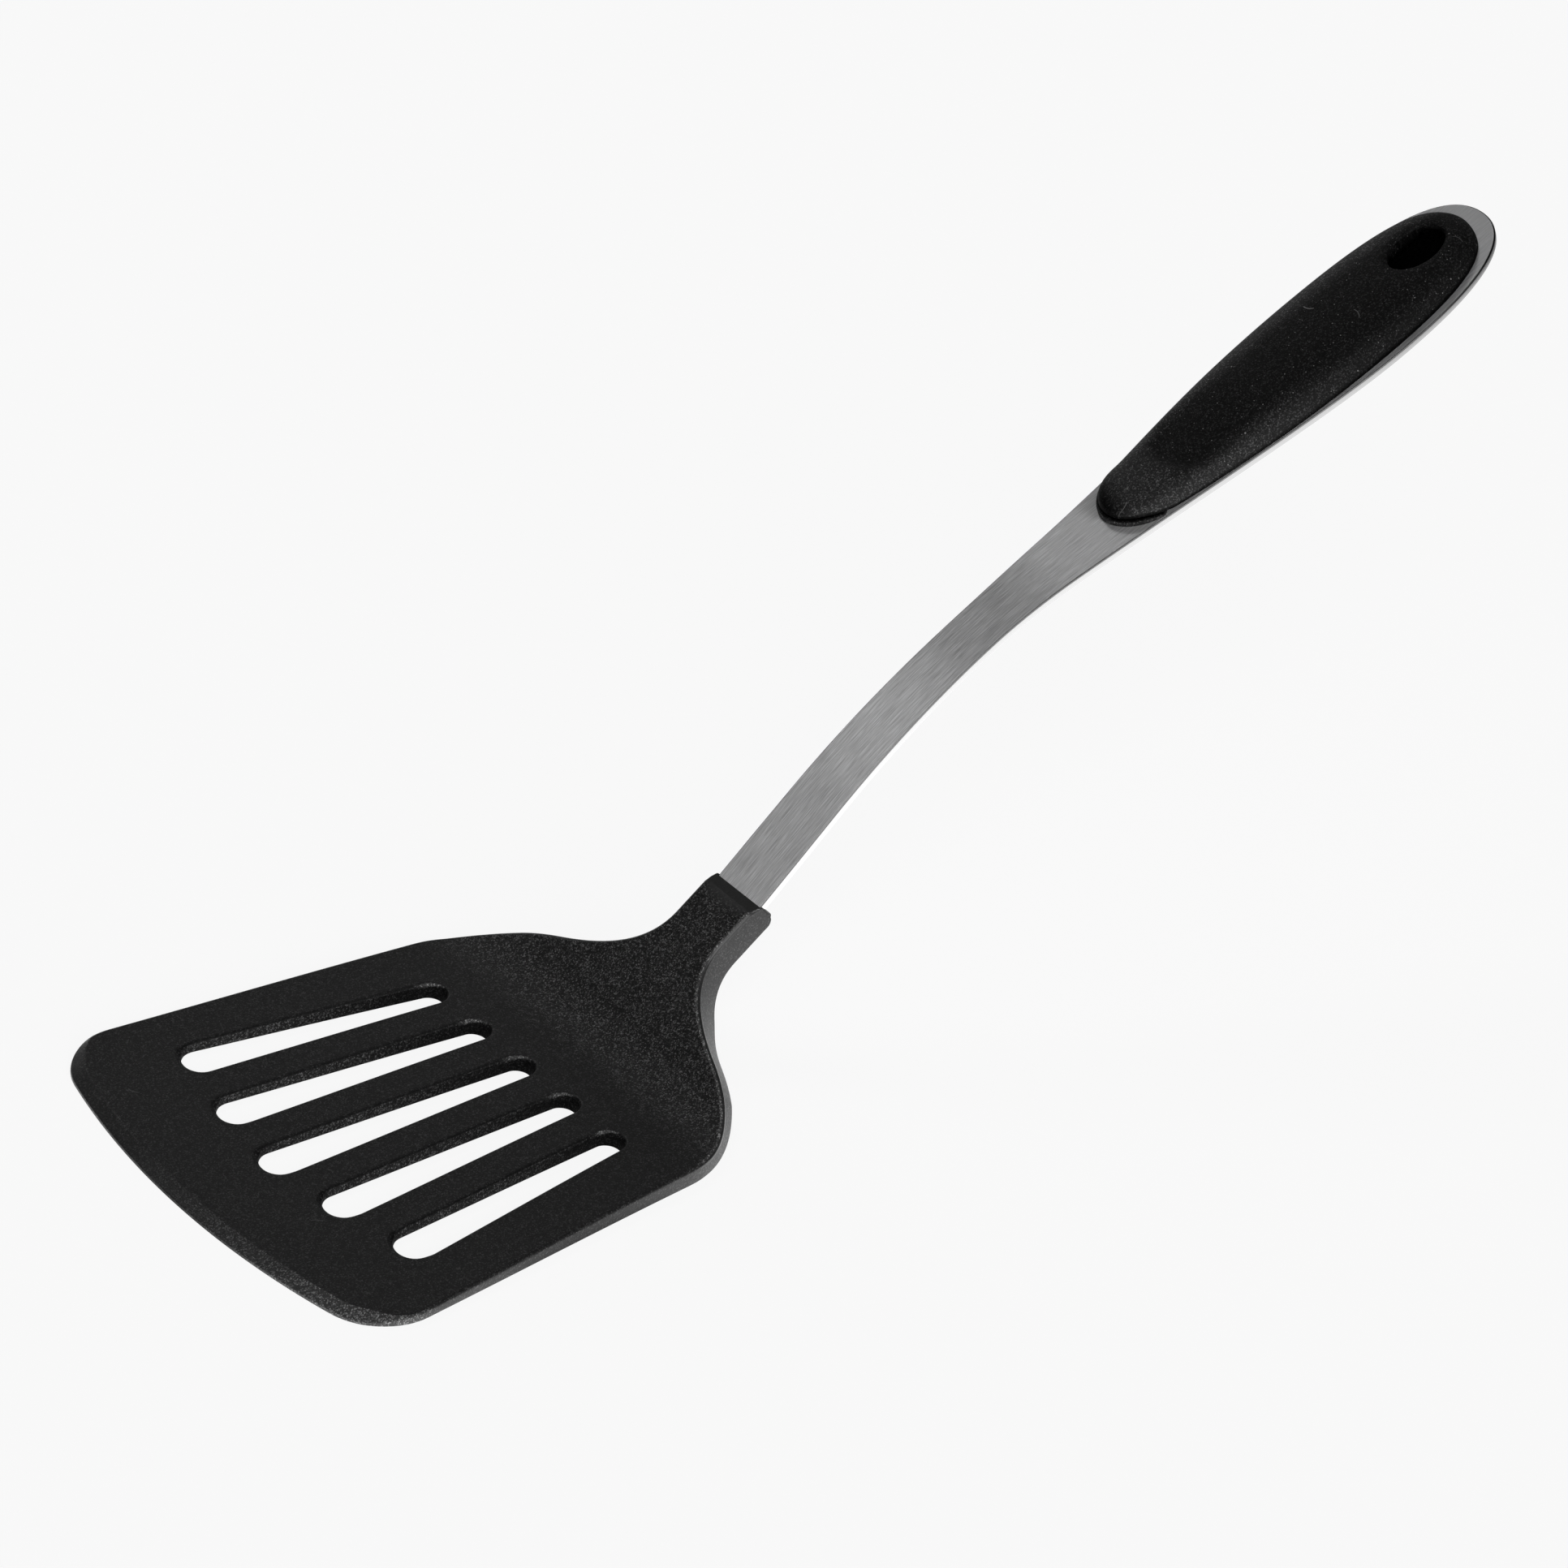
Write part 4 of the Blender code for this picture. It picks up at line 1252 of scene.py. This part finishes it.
def steel_finish():
    """Steel brushed along the strip, with polished walls and edges, a dark line painted on the top edge's
    rounding as a painted reflection, and painted darker toward the tail.
    """
    material, tree, shader = blank("strip_steel")
    place = node(tree, "ShaderNodeUVMap", uv_map="along").outputs["UV"]
    lines = use(tree, BRUSHED, {"Vector": place})
    wall = mark(tree, "wall")
    # The strip is painted darker toward its tail, as a dimmer painted reflection there.
    tail = spread(tree, along_axis(tree, place), 0.0, 0.5, 0.85, 1.96)
    colour = colour_mix(tree, lines["Lines"], (0.42, 0.42, 0.425), (0.74, 0.74, 0.745))
    colour = colour_mix(tree, tail, colour, (0.34, 0.34, 0.345))
    colour = colour_mix(tree, wall, colour, 0.6)
    rough = spread(tree, lines["Lines"], 0.42, 0.5)
    tangent = node(tree, "ShaderNodeTangent", direction_type="UV_MAP", uv_map="along")
    fill(tree, shader, {
        # The rim mark paints the top edge's rounding dark, as a painted reflection.
        "Base Color": colour_mix(tree, mark(tree, "rim"), colour, 0.12),
        "Roughness": value_mix(tree, wall, rough, 0.14),
        "Normal": lines["Normal"],
        "Metallic": 1.0,
        "Anisotropic": 1.0,
        "Anisotropic Rotation": 0.25,
        "Tangent": tangent.outputs["Tangent"],
    })
    return material


def screw_finish():
    """Bright turned steel with short fine lines."""
    material, tree, shader = blank("screw_steel")
    turned = vector_maths(tree, "MULTIPLY", object_place(tree), (30.0, 30.0, 1.0))[0]
    lines = use(tree, BRUSHED, {"Vector": turned})["Lines"]
    fill(tree, shader, {
        "Base Color": colour_mix(tree, lines, 0.5, 0.6),
        "Roughness": spread(tree, lines, 0.25, 0.35),
        "Metallic": 1.0,
    })
    return material


NYLON = nylon_finish()
RUBBER = rubber_finish()
CORE = core_finish()
STEEL = steel_finish()
SCREW = screw_finish()


# Pieces

def add_piece(obj, material, slot, *nodes):
    obj.data.materials.clear()
    obj.data.materials.append(material)
    obj.data.shade_smooth()
    obj.data.set_sharp_from_angle(angle=SMOOTH_ANGLE)
    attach(obj, "root")
    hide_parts(*nodes)


add_piece(make_blade(), NYLON, "nylon", "turner_blade")
add_piece(make_strip(), STEEL, "strip_steel", "handle_strip")
add_piece(make_grip(), RUBBER, "soft_rubber", "soft_grip")
add_piece(make_core(), CORE, "core_plastic", "grip_core")
add_piece(make_bush(), CORE, "core_plastic", "hanging_bush")
add_piece(make_screws(SCREW), SCREW, "screw_steel", "grip_screw_front", "grip_screw_rear")


# Floor, light and camera

def seen_or_lit(tree, lit, seen):
    """One shader for the camera's own rays, and another for all the others."""
    ray = node(tree, "ShaderNodeLightPath").outputs["Is Camera Ray"]
    mix = node(tree, "ShaderNodeMixShader", {0: ray, 1: lit.outputs[0], 2: seen.outputs[0]})
    return mix.outputs[0]


def make_floor():
    bm = bmesh.new()
    bmesh.ops.create_grid(bm, x_segments=1, y_segments=1, size=6)
    floor = object_from("floor", bm)
    floor.location.z = -0.0002
    material, tree, shader = blank("floor")
    tree.nodes.remove(shader)
    # The light that the floor throws up is weak under the blade and fades away from it.
    shifted = vector_maths(tree, "ADD", object_place(tree), (0.094, 0.0, 0.0))[0]
    scaled = vector_maths(tree, "MULTIPLY", shifted, (18.0, 20.8, 0.0))[0]
    far = vector_maths(tree, "LENGTH", scaled)["Value"]
    fade = spread(tree, far, 1.9, 0.1, 1.6, 12.0)
    bounce = spread(tree, far, 0.25, fade, 0.85, 1.1, interpolation_type="SMOOTHSTEP")
    lit = node(tree, "ShaderNodeEmission", {"Strength": bounce})
    seen = node(tree, "ShaderNodeEmission", {"Strength": 0.88})
    matt = node(tree, "ShaderNodeBsdfDiffuse", {"Color": (0.15, 0.15, 0.15, 1)})
    both = node(tree, "ShaderNodeAddShader", {0: seen_or_lit(tree, lit, seen), 1: matt.outputs[0]})
    fill(tree, tree.nodes["Material Output"], {"Surface": both.outputs[0]})
    floor.data.materials.append(material)


def make_world():
    world = bpy.data.worlds.new("studio")
    bpy.context.scene.world = world
    world.use_nodes = True
    tree = world.node_tree
    tree.nodes.clear()
    way = node(tree, "ShaderNodeTexCoord").outputs["Generated"]
    level = node(tree, "ShaderNodeSeparateXYZ", {0: way}).outputs["Z"]
    total = spread(tree, level, 0.01, 0.04, 0.0, 0.9)
    for centre, strength, wide, tight in (
        ((0.10, 0.60, 0.79), 6.0, 10, 1),
        ((-0.36, 0.60, 0.71), 3.4, 7, 1),
        ((-0.42, -0.60, 0.68), 2.1, 24, 4),
        ((-0.61, -0.60, 0.51), 1.6, 24, 4),
        ((0.14, -0.60, 0.79), 0.5, 24, 4),
        ((0.0, -0.92, 0.38), 3.3, 26, 4),
        ((0.85, 0.45, 0.28), 0.5, 22, 4),
        ((0.0, 0.93, 0.36), 0.2, 22, 4),
        ((0.45, 0.84, 0.30), 0.3, 22, 4),
        ((0.30, 0.95, 0.10), 1.3, 16, 3),
    ):
        facing = vector_maths(tree, "DOT_PRODUCT", way, Vector(centre).normalized())["Value"]
        rim, middle = (math.cos(math.radians(angle)) for angle in (wide, tight))
        lobe = spread(tree, facing, 0.0, strength, rim, middle, interpolation_type="SMOOTHSTEP")
        total = maths(tree, "ADD", total, lobe)
    soft = node(tree, "ShaderNodeBackground", {"Strength": total})
    plain = node(tree, "ShaderNodeBackground", {"Strength": 0.94})
    node(tree, "ShaderNodeOutputWorld", {"Surface": seen_or_lit(tree, soft, plain)})


def make_camera():
    data = bpy.data.cameras.new("camera")
    camera = make_object("camera", data)
    right = Vector((0.760800, -0.634614, 0.135834))
    away = Vector((0.596415, 0.601166, -0.531868)).normalized()
    up = right.cross(away).normalized()
    right = away.cross(up)
    turn = Matrix((right, up, -away)).transposed().to_4x4()
    camera.matrix_world = Matrix.Translation((-0.774148, -0.765672, 0.724985)) @ turn
    data.sensor_fit = "HORIZONTAL"
    data.sensor_width = 36
    data.lens = 159.47
    data.clip_start = 0.05
    data.clip_end = 50
    bpy.context.scene.camera = camera


make_floor()
make_world()
make_camera()
bpy.context.scene.view_settings.view_transform = "Standard"
